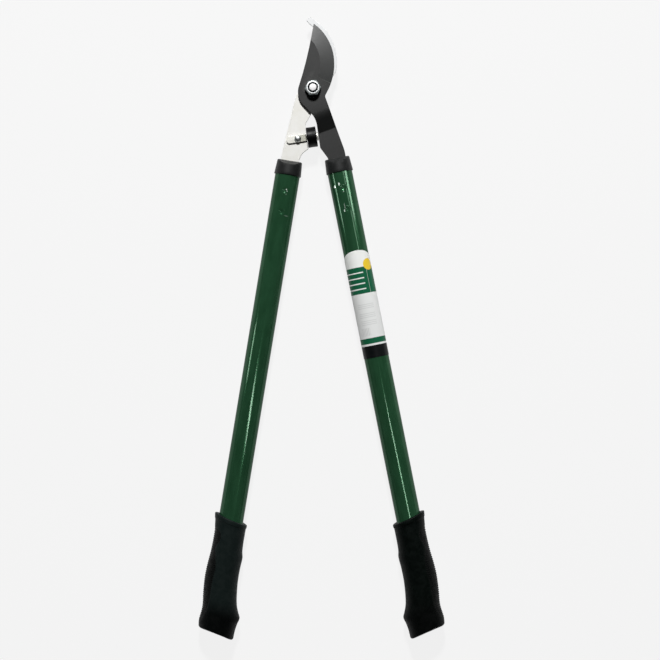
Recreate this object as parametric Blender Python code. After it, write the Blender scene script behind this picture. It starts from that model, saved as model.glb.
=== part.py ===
"""A two-handed bypass lopper, closed and lying flat, modelled piece by piece.

Metres, +Z up. The jaws point along +Y and the handles run towards -Y. The pivot bolt's axis is the
Z axis, and the back of the bolt's head is at Z = 0. Seen from above, the blade is in front and the
hook behind it. The blade side turns about +Z to open.
"""

import math

import bmesh
import bpy
from mathutils import Matrix, Vector

# Fits
CLEARANCE = 0.0003  # between pieces that touch
ROUND_SEGMENTS = 48
PIVOT_SEGMENTS = 36
SMALL_SEGMENTS = 24
DENT_SEGMENTS = 12
FACET_ANGLE = math.radians(12)

# Pivot, from the back to the front
BOLT_RADIUS = 0.0050
BOLT_STICK_OUT = 0.0008
HEX_ACROSS_FLATS = 0.0160
BOLT_HEAD_HEIGHT = 0.0064
WASHER_RADIUS = 0.0105
WASHER_THICKNESS = 0.0016
HOOK_THICKNESS = 0.0045
BLADE_THICKNESS = 0.0040
NUT_HEIGHT = 0.0088
NUT_CROWN_HEIGHT = 0.0026
NUT_CROWN_RADIUS = 0.0074
NUT_MOUTH_RADIUS = 0.0058
INSERT_RADIUS = 0.0063
INSERT_HEIGHT = 0.0016
NUT_TURN = math.radians(5)

# Handles: each centre line leans from the middle line and passes the pivot at its own distance
HANDLE_LEAN = math.radians(10.28)
HOOK_AXIS_OFFSET = 0.0127
BLADE_AXIS_OFFSET = 0.0115
HOOK_REACH = 0.0852  # pivot to the top of the collar, along the handle
BLADE_REACH = 0.0827
TUBE_RADIUS = 0.0142
TUBE_WALL = 0.0010
TUBE_LENGTH = 0.5270

# Tangs: the flat ends of both arms inside the tubes
TANG_WIDTH = 0.0204
TANG_LENGTH = 0.0740
TANG_CORNER = 0.0040
OUTER_SHOULDER_RISE = 0.0071
INNER_SHOULDER_RISE = 0.0020

# Blade, in plan
BLADE_TIP = (0.0022, 0.0742)
BLADE_BELLY = (0.0248, 0.0295)
BLADE_HEEL = (0.0181, -0.0003)
BLADE_NOTCH = (0.0135, -0.0089)
BLADE_NOTCH_RADIUS = 0.0045
BLADE_BOSS_CORNER = (-0.0199, -0.0089)
BLADE_BOSS_RADIUS = 0.0208
SPINE_LOW = (-0.0109, 0.0180)
SPINE_HIGH = (-0.0034, 0.0460)
SPINE_RADIUS = 0.4000
BLADE_LUG_RISE = 0.0083  # past the bumper's skin
BLADE_LUG_BEND = 0.0250
BLADE_LUG_DROP = 0.0017

# Blade's bevel and its edge
BEVEL_WIDTH = 0.0160
BEVEL_TOP = (-0.0070, 0.0603)
BEVEL_FOOT = (0.0061, 0.0124)
BEVEL_RUN_OUT = 0.0031
EDGE_THICKNESS = 0.0006
EDGE_FOOT_Y = 0.0064

# Step in the blade's arm, which brings its tang level with the hook's
STEP_LEAN = math.radians(19.6)
STEP_START = 0.0264
STEP_BEND = 0.0100
STEP_END = 0.0503

# Hook, in plan
HOOK_BELLY = (0.0279, 0.0310)
HOOK_NOSE = (-0.0024, 0.0822)
HOOK_NOSE_RADIUS = 0.0030
HOOK_POINT = (-0.0062, 0.0784)
HOOK_POINT_RADIUS = 0.0016
HOOK_HEEL_Y = 0.0190
HOOK_HEEL = (0.0215, 0.0120)
HOOK_JAW_WIDTH = 0.0101
HOOK_INNER_TOP = (-0.0028, 0.0742)
HOOK_INNER_FOOT_Y = 0.0215
HOOK_THROAT = (0.0120, 0.0135)
HOOK_THROAT_RADIUS = 0.0060
HOOK_BOSS_RADIUS = 0.0156
HOOK_BACK = (-0.0194, -0.0070)
HOOK_BACK_RADIUS = 0.0015
HOOK_WAIST = (0.0120, -0.0105)
HOOK_CROTCH = (-0.0030, -0.0293)
HOOK_LUG_RISE = 0.0033  # past the bumper's skin
HOOK_LUG_DROP = 0.0011
LUG_BEND = 0.0110
HOOK_FILLET = (0.0105, 0.0022, 0.0130)  # above the collar, past the tang's side, radius
LUG_CORNER = 0.0014
RELIEF_WIDTH = 0.0040
RELIEF_DEPTH = 0.0028

# Bumper between the arms
BUMPER_CENTRE = (-0.0022, -0.0550)
BUMPER_LEAN = math.radians(7.5)
BUMPER_LENGTH = 0.0110
BUMPER_RADIUS = 0.0117
BUMPER_EDGE = 0.0010
BUMPER_RIVET_RADIUS = 0.0025
BUMPER_RIVET_HEAD_RADIUS = 0.0053
BUMPER_RIVET_HEAD = 0.0016
STRAP_WIDTH = 0.0074
STRAP_THICKNESS = 0.0015
STRAP_LENGTH = 0.0232
STRAP_CORNER = 0.0032
STRAP_BEND = 0.0002  # inside radius of the bend over the lug
FLANGE_DROP = 0.0150
BRACKET_RIVET_RADIUS = 0.0020
BRACKET_RIVET_HEAD_RADIUS = 0.0037
BRACKET_RIVET_HEAD = 0.0024
BRACKET_RIVET_INSET = 0.0128  # from the strap's rounded end
BRACKET_RIVET_TAIL = 0.0010

# Collars and their plugs
COLLAR_LENGTH = 0.0170
COLLAR_TOP_RADIUS = 0.0143
COLLAR_WALL = 0.0009
COLLAR_ROUNDING = 0.0016
COLLAR_CAP = 0.0062
COLLAR_ROOF_DEPTH = 0.0050
COLLAR_ROOF_FLAT = 0.0042
PLUG_OVERHANG = 0.0030  # past the end of the tang

# Staking dents in the tubes
DENT_RADIUS = 0.0075
DENT_DEPTH = 0.0010
DENT_START = 0.0355  # below the collar's top
DENT_PITCH = 0.0245

# Grips
GRIP_LENGTH = 0.1315
GRIP_BORE_DEPTH = 0.1210
LEFT_GRIP_GAP = 0.0019  # from the tube's end to the bottom of the grip's bore
RIGHT_GRIP_GAP = 0.0064
GRIP_FLANGE = 0.0050
GRIP_FLANGE_STEP = 0.0005
GRIP_DEPTH_WALL = 0.0029
GRIP_RIM_SLANT = 0.25
GRIP_BUTT_SLANT = 0.22
GRIP_ROUNDING = 0.0024
GRIP_BUTT_DOME = 0.0025  # the butt's middle stands out this far past its front and back
GRIP_SLANT_SHARE = 0.15  # share of the length over which each end's slant dies away
RIB_PITCH = 0.0024
RIB_DEPTH = 0.0006
RIB_START = 0.0128
RIB_END = 0.1192
# Share of the length, then the wall over the tube on the outer and on the inner side
GRIP_SHAPE = (
    (0.000, 0.0049, 0.0047),
    (0.060, 0.0037, 0.0044),
    (0.120, 0.0025, 0.0041),
    (0.180, 0.0022, 0.0038),
    (0.270, 0.0025, 0.0043),
    (0.320, 0.0029, 0.0055),
    (0.420, 0.0042, 0.0048),
    (0.520, 0.0048, 0.0047),
    (0.600, 0.0044, 0.0054),
    (0.690, 0.0034, 0.0068),
    (0.750, 0.0024, 0.0085),
    (0.800, 0.0021, 0.0111),
    (0.845, 0.0026, 0.0134),
    (0.890, 0.0032, 0.0116),
    (0.940, 0.0032, 0.0104),
    (1.000, 0.0024, 0.0100),
)
# Share of the length, then the ribbed zone's half angle round the outer side in degrees
RIB_ZONE = (
    (0.095, 32),
    (0.125, 57),
    (0.190, 60),
    (0.260, 45),
    (0.320, 52),
    (0.430, 66),
    (0.600, 61),
    (0.700, 57),
    (0.800, 46),
    (0.910, 30),
)
RIB_COLUMNS = 7
PLAIN_COLUMNS = 20

# Label on the right tube
LABEL_DROP = 0.1084  # below the collar's top
LABEL_LENGTH = 0.1233
LABEL_HALF_ANGLE = math.radians(90)
LABEL_ARCH = 0.0072
LABEL_GAP = 0.00015
LABEL_THICKNESS = 0.0002

LEFT = -1
RIGHT = 1

# Levels that follow from the stack
washer_back = BOLT_HEAD_HEIGHT + CLEARANCE
hook_back = washer_back + WASHER_THICKNESS + CLEARANCE
hook_front = hook_back + HOOK_THICKNESS
blade_back = hook_front + CLEARANCE
blade_front = blade_back + BLADE_THICKNESS
nut_back = blade_front + CLEARANCE
nut_front = nut_back + NUT_HEIGHT
handle_level = (hook_back + hook_front) / 2
step_drop = (blade_back + blade_front) / 2 - handle_level
tube_bore = TUBE_RADIUS - TUBE_WALL
plug_radius = tube_bore - CLEARANCE
plug_length = TANG_LENGTH + PLUG_OVERHANG
grip_bore = TUBE_RADIUS + CLEARANCE


# Materials and objects


def make_material(name, colour, roughness, metallic=0.0):
    material = bpy.data.materials.new(name)
    material.use_nodes = True
    shader = material.node_tree.nodes["Principled BSDF"]
    shader.inputs["Base Color"].default_value = (*colour, 1.0)
    shader.inputs["Roughness"].default_value = roughness
    shader.inputs["Metallic"].default_value = metallic
    material.diffuse_color = (*colour, 1.0)
    return material


def make_object(name, bm, material=None, parent=None, smooth=False):
    """Turn a bmesh into an object; a piece without a material is a guide that isn't part of the tool."""
    bmesh.ops.recalc_face_normals(bm, faces=bm.faces)
    mesh = bpy.data.meshes.new(name)
    bm.to_mesh(mesh)
    bm.free()
    if smooth:
        mesh.shade_smooth()
        mesh.set_sharp_from_angle(angle=math.radians(35))
    piece = bpy.data.objects.new(name, mesh)
    bpy.context.collection.objects.link(piece)
    if material is None:
        piece.hide_render = True
        piece.display_type = "WIRE"
    else:
        mesh.materials.append(material)
    piece.parent = parent
    return piece


def make_empty(name, location, turn=0.0, parent=None):
    empty = bpy.data.objects.new(name, None)
    empty.empty_display_size = 0.02
    empty.location = location
    empty.rotation_euler = (0.0, 0.0, turn)
    empty.parent = parent
    bpy.context.collection.objects.link(empty)
    return empty


def combine(piece, other, operation):
    modifier = piece.modifiers.new(operation.lower(), "BOOLEAN")
    modifier.operation = operation
    modifier.solver = "EXACT"
    modifier.object = other


# Outlines in plan


def rounded(corners):
    """The outline through (x, y, radius) corners, each rounded by its radius as far as its sides allow."""
    points = []
    for index, (x, y, radius) in enumerate(corners):
        here = Vector((x, y))
        if radius <= 0:
            points.append(here)
            continue
        back = Vector(corners[index - 1][:2]) - here
        ahead = Vector(corners[(index + 1) % len(corners)][:2]) - here
        room = 0.48 * min(back.length, ahead.length)
        back.normalize()
        ahead.normalize()
        half = back.angle(ahead) / 2
        setback = min(radius / math.tan(half), room)
        fitted = setback * math.tan(half)
        centre = here + (back + ahead).normalized() * (fitted / math.sin(half))
        start = here + back * setback - centre
        end = here + ahead * setback - centre
        sweep = math.pi - 2 * half
        if start.x * end.y - start.y * end.x < 0:
            sweep = -sweep
        steps = max(2, math.ceil(abs(sweep) / FACET_ANGLE))
        for step in range(steps + 1):
            points.append(centre + Matrix.Rotation(sweep * step / steps, 2) @ start)
    return points


def belly_radius(belly, end):
    """The radius of the arc through `end` that stands upright at the belly."""
    reach = belly[0] - end[0]
    rise = end[1] - belly[1]
    return (reach * reach + rise * rise) / (2 * reach)


def on_belly_arc(belly, end, y):
    """The point at a given y on that arc."""
    radius = belly_radius(belly, end)
    rise = y - belly[1]
    return belly[0] - radius + math.sqrt(radius * radius - rise * rise), y


def belly_arc(belly, end, steps):
    """Points from `end` to `belly` on that arc."""
    rise = end[1] - belly[1]
    radius = belly_radius(belly, end)
    centre_x = belly[0] - radius
    last = math.atan2(rise, end[0] - centre_x)
    points = []
    for step in range(steps + 1):
        angle = last * (1 - step / steps)
        points.append((centre_x + radius * math.cos(angle), belly[1] + radius * math.sin(angle)))
    return points


def on_handle(side, along, across):
    """A point in plan on a handle, `along` it from beside the pivot and `across` towards the outside."""
    offset = HOOK_AXIS_OFFSET if side == LEFT else BLADE_AXIS_OFFSET
    out = offset + across
    x = math.cos(HANDLE_LEAN) * out + math.sin(HANDLE_LEAN) * along
    y = math.sin(HANDLE_LEAN) * out - math.cos(HANDLE_LEAN) * along
    return side * x, y


def by_bumper(along, across):
    """A point in plan by the bumper, `along` its axis from its middle and `across` towards the jaws."""
    x = BUMPER_CENTRE[0] + math.cos(BUMPER_LEAN) * along - math.sin(BUMPER_LEAN) * across
    y = BUMPER_CENTRE[1] + math.sin(BUMPER_LEAN) * along + math.cos(BUMPER_LEAN) * across
    return x, y


def tang_corners(side, reach):
    """The tang's corners, from the arm's outer edge round its end to the arm's inner edge."""
    half = TANG_WIDTH / 2
    return [
        (*on_handle(side, reach - OUTER_SHOULDER_RISE, half), 0.030),
        (*on_handle(side, reach + TANG_LENGTH, half), TANG_CORNER),
        (*on_handle(side, reach + TANG_LENGTH, -half), TANG_CORNER),
        (*on_handle(side, reach - INNER_SHOULDER_RISE, -half), 0.006),
    ]


# Solids


def plate(outline, back, front):
    """A flat plate with the given outline between two levels."""
    bm = bmesh.new()
    face = bm.faces.new([bm.verts.new((x, y, back)) for x, y in outline])
    raised = bmesh.ops.extrude_face_region(bm, geom=[face])["geom"]
    lifted = [item for item in raised if isinstance(item, bmesh.types.BMVert)]
    bmesh.ops.translate(bm, verts=lifted, vec=(0, 0, front - back))
    return bm


def turned(profile, segments):
    """The solid that a closed (radius, level) profile sweeps round the Z axis."""
    bm = bmesh.new()
    verts = [bm.verts.new((radius, 0, level)) for radius, level in profile]
    edges = [bm.edges.new(pair) for pair in zip(verts, verts[1:] + verts[:1])]
    bmesh.ops.spin(
        bm,
        geom=verts + edges,
        cent=(0, 0, 0),
        axis=(0, 0, 1),
        dvec=(0, 0, 0),
        angle=math.tau,
        steps=segments,
    )
    bmesh.ops.remove_doubles(bm, verts=bm.verts, dist=1e-6)
    stray = [edge for edge in bm.edges if not edge.link_faces]
    bmesh.ops.delete(bm, geom=stray, context="EDGES")
    return bm


def cylinder(radius, low, high, segments):
    return turned([(0, low), (radius, low), (radius, high), (0, high)], segments)


def lofted(rings):
    """Skin equal rings of points in order and cap both ends."""
    bm = bmesh.new()
    rows = [[bm.verts.new(point) for point in ring] for ring in rings]
    for near, far in zip(rows, rows[1:]):
        for index in range(len(near)):
            after = (index + 1) % len(near)
            bm.faces.new((near[index], near[after], far[after], far[index]))
    bm.faces.new(rows[0])
    bm.faces.new(rows[-1])
    return bm


def laid_along_handle(bm):
    """Turn a solid's Z axis onto the handle's own Y axis."""
    bm.transform(Matrix.Rotation(math.radians(-90), 4, "X"))
    return bm


def hex_prism(low, high):
    """A six-sided solid with the two ends' corners turned off."""
    radius = HEX_ACROSS_FLATS / math.sqrt(3)
    corners = [
        (radius * math.cos(math.radians(60 * index)), radius * math.sin(math.radians(60 * index)))
        for index in range(6)
    ]
    return plate(corners, low, high)


def corner_drum(low, high, low_chamfer, high_chamfer):
    """The turned solid that takes a hexagon's corners off at the ends that ask for it."""
    corner = HEX_ACROSS_FLATS / math.sqrt(3) + CLEARANCE
    face = HEX_ACROSS_FLATS * 0.485
    fall = (corner - face) * math.tan(math.radians(30))
    profile = [(0, low)]
    profile += [(face, low), (corner, low + fall)] if low_chamfer else [(corner, low)]
    profile += [(corner, high - fall), (face, high)] if high_chamfer else [(corner, high)]
    profile += [(0, high)]
    return turned(profile, PIVOT_SEGMENTS)


# Hook side


def hook_outline():
    outer = belly_arc(HOOK_BELLY, (HOOK_NOSE[0] + 0.0030, HOOK_NOSE[1] - 0.0022), 12)
    heel = belly_arc(HOOK_BELLY, (HOOK_BELLY[0] - 0.0015, HOOK_HEEL_Y), 2)[::-1]
    inner = hook_inner_edge(12)
    corners = [(*HOOK_NOSE, HOOK_NOSE_RADIUS)]
    corners += [(x, y, 0) for x, y in outer + heel[1:]]
    corners += [
        (*HOOK_HEEL, 0.004),
        (*HOOK_WAIST, 0.012),
        (*HOOK_CROTCH, 0.015),
        (*by_bumper(hook_lug(), BUMPER_RADIUS + HOOK_LUG_RISE), LUG_BEND),
        (*by_bumper(hook_lug(), -BUMPER_RADIUS - HOOK_LUG_DROP), LUG_CORNER),
    ]
    rise, past, radius = HOOK_FILLET
    corners += [(*on_handle(LEFT, HOOK_REACH - rise, -TANG_WIDTH / 2 - past), radius)]
    corners += tang_corners(LEFT, HOOK_REACH)[::-1]
    corners += [(*HOOK_BACK, HOOK_BACK_RADIUS)]
    for degrees in range(190, 66, -10):
        angle = math.radians(degrees)
        corners.append((HOOK_BOSS_RADIUS * math.cos(angle), HOOK_BOSS_RADIUS * math.sin(angle), 0))
    corners += [(*HOOK_THROAT, HOOK_THROAT_RADIUS)]
    corners += [(x, y, 0) for x, y in inner[::-1]]
    corners += [(*HOOK_POINT, HOOK_POINT_RADIUS)]
    return rounded(corners)


def hook_inner_edge(steps):
    """The hook's cutting edge from under its point down to the throat."""
    belly = (HOOK_BELLY[0] - HOOK_JAW_WIDTH, HOOK_BELLY[1] + 0.0020)
    upper = belly_arc(belly, HOOK_INNER_TOP, steps)
    lower = belly_arc(belly, (belly[0] - 0.0016, HOOK_INNER_FOOT_Y), 3)[::-1]
    return upper + lower[1:]


def hook_lug():
    """Where the hook's lug edge lies along the bumper's axis."""
    return -BUMPER_LENGTH / 2 - CLEARANCE


def blade_lug():
    return BUMPER_LENGTH / 2 + BUMPER_RIVET_HEAD + 2 * CLEARANCE


def make_hook(steel, frame):
    hook = make_object("hook", plate(hook_outline(), hook_back, hook_front), steel, frame)
    hole = cylinder(BOLT_RADIUS + CLEARANCE, hook_back - 0.001, hook_front + 0.001, ROUND_SEGMENTS)
    combine(hook, make_object("hook_hole", hole), "DIFFERENCE")
    rivet_x, rivet_y = bracket_rivet_place()
    hole = cylinder(BRACKET_RIVET_RADIUS + CLEARANCE, hook_back - 0.001, hook_front + 0.001, SMALL_SEGMENTS)
    bmesh.ops.translate(hole, verts=hole.verts, vec=(rivet_x, rivet_y, 0))
    combine(hook, make_object("hook_rivet_hole", hole), "DIFFERENCE")
    combine(hook, make_object("hook_flange_seat", flange_seat()), "DIFFERENCE")
    combine(hook, make_object("hook_relief", hook_relief()), "DIFFERENCE")
    return hook


def flange_seat():
    """The notch in the lug that the bracket's flange is keyed into."""
    deep = hook_lug() - STRAP_THICKNESS - CLEARANCE
    half = STRAP_WIDTH / 2 + CLEARANCE
    corners = [(deep, -half), (hook_lug() + 0.002, -half), (hook_lug() + 0.002, half), (deep, half)]
    return plate([by_bumper(*corner) for corner in corners], hook_back - 0.001, hook_front + 0.001)


def hook_relief():
    """The wedge ground off the back of the hook's inner edge."""
    edge = [Vector(point) for point in hook_inner_edge(12)]
    rings = []
    for index, point in enumerate(edge):
        before = edge[max(index - 1, 0)]
        after = edge[min(index + 1, len(edge) - 1)]
        ahead = (after - before).normalized()
        inward = Vector((-ahead.y, ahead.x))
        share = min(1.0, index / 2, (len(edge) - 1 - index) / 2)
        width = RELIEF_WIDTH * share + 0.0001
        depth = RELIEF_DEPTH * share
        outer = point - inward * 0.002
        inner = point + inward * width * 1.2
        low = hook_back - 0.002
        rings.append([
            (outer.x, outer.y, hook_back + depth * (1 + 0.002 / width) - 0.0001),
            (inner.x, inner.y, hook_back - depth * 0.2 - 0.0001),
            (inner.x, inner.y, low),
            (outer.x, outer.y, low),
        ])
    return lofted(rings)


def make_pivot(steel, nylon, frame):
    neck = [
        (0, BOLT_HEAD_HEIGHT - 0.001),
        (BOLT_RADIUS, BOLT_HEAD_HEIGHT - 0.001),
        (BOLT_RADIUS, nut_front + BOLT_STICK_OUT - 0.0007),
        (BOLT_RADIUS - 0.0007, nut_front + BOLT_STICK_OUT),
        (0, nut_front + BOLT_STICK_OUT),
    ]
    bolt = make_object("pivot_bolt", hex_prism(0, BOLT_HEAD_HEIGHT), steel, frame)
    combine(bolt, make_object("bolt_corners", corner_drum(0, BOLT_HEAD_HEIGHT, True, False)), "INTERSECT")
    combine(bolt, make_object("bolt_shank", turned(neck, PIVOT_SEGMENTS)), "UNION")

    rim = BOLT_RADIUS + CLEARANCE
    washer = [
        (rim, washer_back),
        (WASHER_RADIUS, washer_back),
        (WASHER_RADIUS, washer_back + WASHER_THICKNESS),
        (rim, washer_back + WASHER_THICKNESS),
    ]
    make_object("pivot_washer", turned(washer, PIVOT_SEGMENTS), steel, frame, smooth=True)

    hex_top = nut_front - NUT_CROWN_HEIGHT
    nut = make_object("pivot_nut", hex_prism(nut_back, hex_top), steel, frame)
    combine(nut, make_object("nut_corners", corner_drum(nut_back, hex_top, False, True)), "INTERSECT")
    crown = [
        (0, hex_top - 0.001),
        (NUT_CROWN_RADIUS, hex_top - 0.001),
        (NUT_CROWN_RADIUS, nut_front - 0.0008),
        (NUT_CROWN_RADIUS - 0.0003, nut_front - 0.0002),
        (NUT_CROWN_RADIUS - 0.0008, nut_front),
        (0, nut_front),
    ]
    combine(nut, make_object("nut_crown", turned(crown, PIVOT_SEGMENTS)), "UNION")
    pocket_top = nut_front - 0.0007
    pocket_low = pocket_top - INSERT_HEIGHT - 2 * CLEARANCE
    bore = [
        (0, nut_back - 0.001),
        (BOLT_RADIUS + CLEARANCE, nut_back - 0.001),
        (BOLT_RADIUS + CLEARANCE, pocket_low),
        (INSERT_RADIUS + CLEARANCE, pocket_low),
        (INSERT_RADIUS + CLEARANCE, pocket_top),
        (NUT_MOUTH_RADIUS, pocket_top),
        (NUT_MOUTH_RADIUS, nut_front + 0.001),
        (0, nut_front + 0.001),
    ]
    combine(nut, make_object("nut_bore", turned(bore, PIVOT_SEGMENTS)), "DIFFERENCE")
    nut.rotation_euler.z = NUT_TURN

    ring_low = pocket_low + CLEARANCE
    ring = [
        (rim, ring_low),
        (INSERT_RADIUS, ring_low),
        (INSERT_RADIUS, ring_low + INSERT_HEIGHT),
        (rim, ring_low + INSERT_HEIGHT),
    ]
    make_object("nut_insert", turned(ring, PIVOT_SEGMENTS), nylon, frame, smooth=True)
    for name in ("nut_corners", "nut_crown", "nut_bore"):
        bpy.data.objects[name].rotation_euler.z = NUT_TURN


# Bumper


def strap_front():
    return hook_front + CLEARANCE + STRAP_THICKNESS


def strap_end():
    """Where the strap's rounded end lies along the bumper's axis."""
    return hook_lug() - STRAP_LENGTH


def bracket_rivet_place():
    return by_bumper(strap_end() + BRACKET_RIVET_INSET, 0)


def along_bumper(bm):
    """Turn a solid's Z axis onto the bumper's axis and move it to the bumper's middle."""
    bm.transform(Matrix.Rotation(math.radians(90), 4, "Y"))
    bm.transform(Matrix.Rotation(BUMPER_LEAN, 4, "Z"))
    bmesh.ops.translate(bm, verts=bm.verts, vec=(*BUMPER_CENTRE, handle_level))
    return bm


def bent_strap(width):
    """The bracket's strip: flat on the hook, then bent down over the lug's edge."""
    back = hook_front + CLEARANCE
    bend = STRAP_BEND + STRAP_THICKNESS
    low = strap_front() - FLANGE_DROP
    path = rounded([
        (strap_end() - 0.002, back, 0),
        (hook_lug() - STRAP_THICKNESS, back, STRAP_BEND),
        (hook_lug() - STRAP_THICKNESS, low, 0),
        (hook_lug(), low, 0),
        (hook_lug(), strap_front(), bend),
        (strap_end() - 0.002, strap_front(), 0),
    ])
    near = [(*by_bumper(along, -width - 0.001), level) for along, level in path]
    far = [(*by_bumper(along, width + 0.001), level) for along, level in path]
    return lofted([near, far])


def make_bumper(steel, rubber, frame):
    half = BUMPER_LENGTH / 2
    hole = BUMPER_RIVET_RADIUS + CLEARANCE
    tyre = [
        (hole, -half),
        (BUMPER_RADIUS - BUMPER_EDGE, -half),
        (BUMPER_RADIUS, -half + BUMPER_EDGE),
        (BUMPER_RADIUS, half - BUMPER_EDGE),
        (BUMPER_RADIUS - BUMPER_EDGE, half),
        (hole, half),
    ]
    make_object("bumper", along_bumper(turned(tyre, ROUND_SEGMENTS)), rubber, frame, smooth=True)

    flange_back = hook_lug() - STRAP_THICKNESS
    head = half + CLEARANCE
    rivet = [
        (0, flange_back),
        (BUMPER_RIVET_RADIUS, flange_back),
        (BUMPER_RIVET_RADIUS, head),
        (BUMPER_RIVET_HEAD_RADIUS, head),
        (BUMPER_RIVET_HEAD_RADIUS, head + BUMPER_RIVET_HEAD * 0.6),
        (BUMPER_RIVET_HEAD_RADIUS * 0.86, head + BUMPER_RIVET_HEAD),
        (0, head + BUMPER_RIVET_HEAD),
    ]
    make_object("bumper_rivet", along_bumper(turned(rivet, SMALL_SEGMENTS)), steel, frame, smooth=True)

    width = STRAP_WIDTH / 2
    bracket = make_object("bumper_bracket", bent_strap(width), steel, frame)
    strap = rounded([
        (*by_bumper(strap_end(), -width), STRAP_CORNER),
        (*by_bumper(hook_lug() + 0.002, -width), 0),
        (*by_bumper(hook_lug() + 0.002, width), 0),
        (*by_bumper(strap_end(), width), STRAP_CORNER),
    ])
    ends = plate(strap, strap_front() - FLANGE_DROP - 0.001, strap_front() + 0.001)
    combine(bracket, make_object("strap_outline", ends), "INTERSECT")
    hole = cylinder(BUMPER_RIVET_RADIUS + CLEARANCE, flange_back - 0.001, hook_lug() + 0.001, SMALL_SEGMENTS)
    combine(bracket, make_object("leg_hole", along_bumper(hole)), "DIFFERENCE")
    rivet_x, rivet_y = bracket_rivet_place()
    hole = cylinder(BRACKET_RIVET_RADIUS + CLEARANCE, hook_front - 0.001, strap_front() + 0.001, SMALL_SEGMENTS)
    bmesh.ops.translate(hole, verts=hole.verts, vec=(rivet_x, rivet_y, 0))
    combine(bracket, make_object("strap_hole", hole), "DIFFERENCE")

    seat = strap_front() + CLEARANCE
    tail = hook_back - CLEARANCE
    dome = [(0, tail - BRACKET_RIVET_TAIL)]
    dome += [(BRACKET_RIVET_HEAD_RADIUS * 0.8, tail - BRACKET_RIVET_TAIL)]
    dome += [(BRACKET_RIVET_HEAD_RADIUS, tail), (BRACKET_RIVET_RADIUS, tail), (BRACKET_RIVET_RADIUS, seat)]
    for degrees in range(0, 91, 15):
        angle = math.radians(degrees)
        radius = BRACKET_RIVET_HEAD_RADIUS * math.cos(angle)
        dome.append((radius, seat + BRACKET_RIVET_HEAD * math.sin(angle)))
    bm = turned(dome, SMALL_SEGMENTS)
    bmesh.ops.translate(bm, verts=bm.verts, vec=(rivet_x, rivet_y, 0))
    make_object("bracket_rivet", bm, steel, frame, smooth=True)


# Blade side


def blade_outline():
    upper = belly_arc(BLADE_BELLY, BLADE_TIP, 14)
    lower = belly_arc(BLADE_BELLY, BLADE_HEEL, 7)[::-1]
    corners = [(x, y, 0) for x, y in upper + lower[1:]]
    corners += [(*BLADE_NOTCH, BLADE_NOTCH_RADIUS)]
    corners += tang_corners(RIGHT, BLADE_REACH)
    corners += [
        (*by_bumper(blade_lug(), -BUMPER_RADIUS - BLADE_LUG_DROP), LUG_CORNER),
        (*by_bumper(blade_lug(), BUMPER_RADIUS + BLADE_LUG_RISE), BLADE_LUG_BEND),
        (*BLADE_BOSS_CORNER, BLADE_BOSS_RADIUS),
        (*SPINE_LOW, SPINE_RADIUS),
        (*SPINE_HIGH, SPINE_RADIUS),
    ]
    return rounded(corners)


def step_fall(distance):
    """How far the blade's arm has dropped at a distance from the pivot along the arm."""
    slope = step_drop / (STEP_END - STEP_START - STEP_BEND / 2)
    if distance <= STEP_START:
        return 0.0
    if distance <= STEP_START + STEP_BEND:
        return slope * (distance - STEP_START) ** 2 / (2 * STEP_BEND)
    return min(step_drop, slope * (distance - STEP_START - STEP_BEND / 2))


def stepped(bm):
    """Cut the arm across at the bend lines and let it down to the tang's level."""
    along = Vector((math.sin(STEP_LEAN), -math.cos(STEP_LEAN), 0))
    lines = [STEP_START + STEP_BEND * share for share in (0, 0.25, 0.5, 0.75, 1)] + [STEP_END]
    for line in lines:
        everything = list(bm.verts) + list(bm.edges) + list(bm.faces)
        bmesh.ops.bisect_plane(bm, geom=everything, plane_co=along * line, plane_no=along, dist=1e-7)
    for vert in bm.verts:
        vert.co.z -= step_fall(vert.co.dot(along))
    return bm


def bevel_section(inner, edge, run_out=False):
    """Four corners of the ground-away wedge between the bevel's inner border and the cutting edge."""
    inner = Vector(inner)
    edge = Vector(edge)
    across = edge - inner
    start = inner - across * 0.08
    end = edge + across * 0.15
    depth = 0.0 if run_out else BLADE_THICKNESS - EDGE_THICKNESS
    margin = 0.0001 if run_out else 0.0
    top = blade_front + 0.003
    return [
        (start.x, start.y, blade_front + depth * 0.08 + margin),
        (end.x, end.y, blade_front - depth * 1.15 + margin),
        (end.x, end.y, top),
        (start.x, start.y, top),
    ]


def blade_bevel():
    """The wedge ground off the blade's front, along the whole cutting edge."""
    beyond = on_belly_arc(BLADE_BELLY, BLADE_TIP, BLADE_TIP[1] + 0.003)
    border_belly = (BLADE_BELLY[0] - BEVEL_WIDTH, BLADE_BELLY[1])
    upper = 9
    lower = 4
    edge = belly_arc(BLADE_BELLY, beyond, upper)
    border = belly_arc(border_belly, BEVEL_TOP, upper)
    edge_foot = on_belly_arc(BLADE_BELLY, BLADE_HEEL, EDGE_FOOT_Y)
    edge += belly_arc(BLADE_BELLY, edge_foot, lower)[::-1][1:]
    border += belly_arc(border_belly, BEVEL_FOOT, lower)[::-1][1:]
    rings = [bevel_section(inner, outer) for inner, outer in zip(border, edge)]
    run = (Vector(edge[-1]) - Vector(border[-1])).normalized()
    drop = Vector((run.y, -run.x)) * BEVEL_RUN_OUT
    last_inner = Vector(border[-1]) + drop
    last_edge = Vector(edge[-1]) + drop
    rings.append(bevel_section(last_inner, last_edge, run_out=True))
    return lofted(rings)


def make_blade(steel, frame):
    blade = make_object("blade", stepped(plate(blade_outline(), blade_back, blade_front)), steel, frame)
    hole = cylinder(BOLT_RADIUS + CLEARANCE, blade_back - 0.001, blade_front + 0.001, ROUND_SEGMENTS)
    combine(blade, make_object("blade_hole", hole), "DIFFERENCE")
    combine(blade, make_object("blade_bevel", blade_bevel()), "DIFFERENCE")
    return blade


# Handles, in each handle's own frame: Y runs down the handle from beside the pivot


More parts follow.
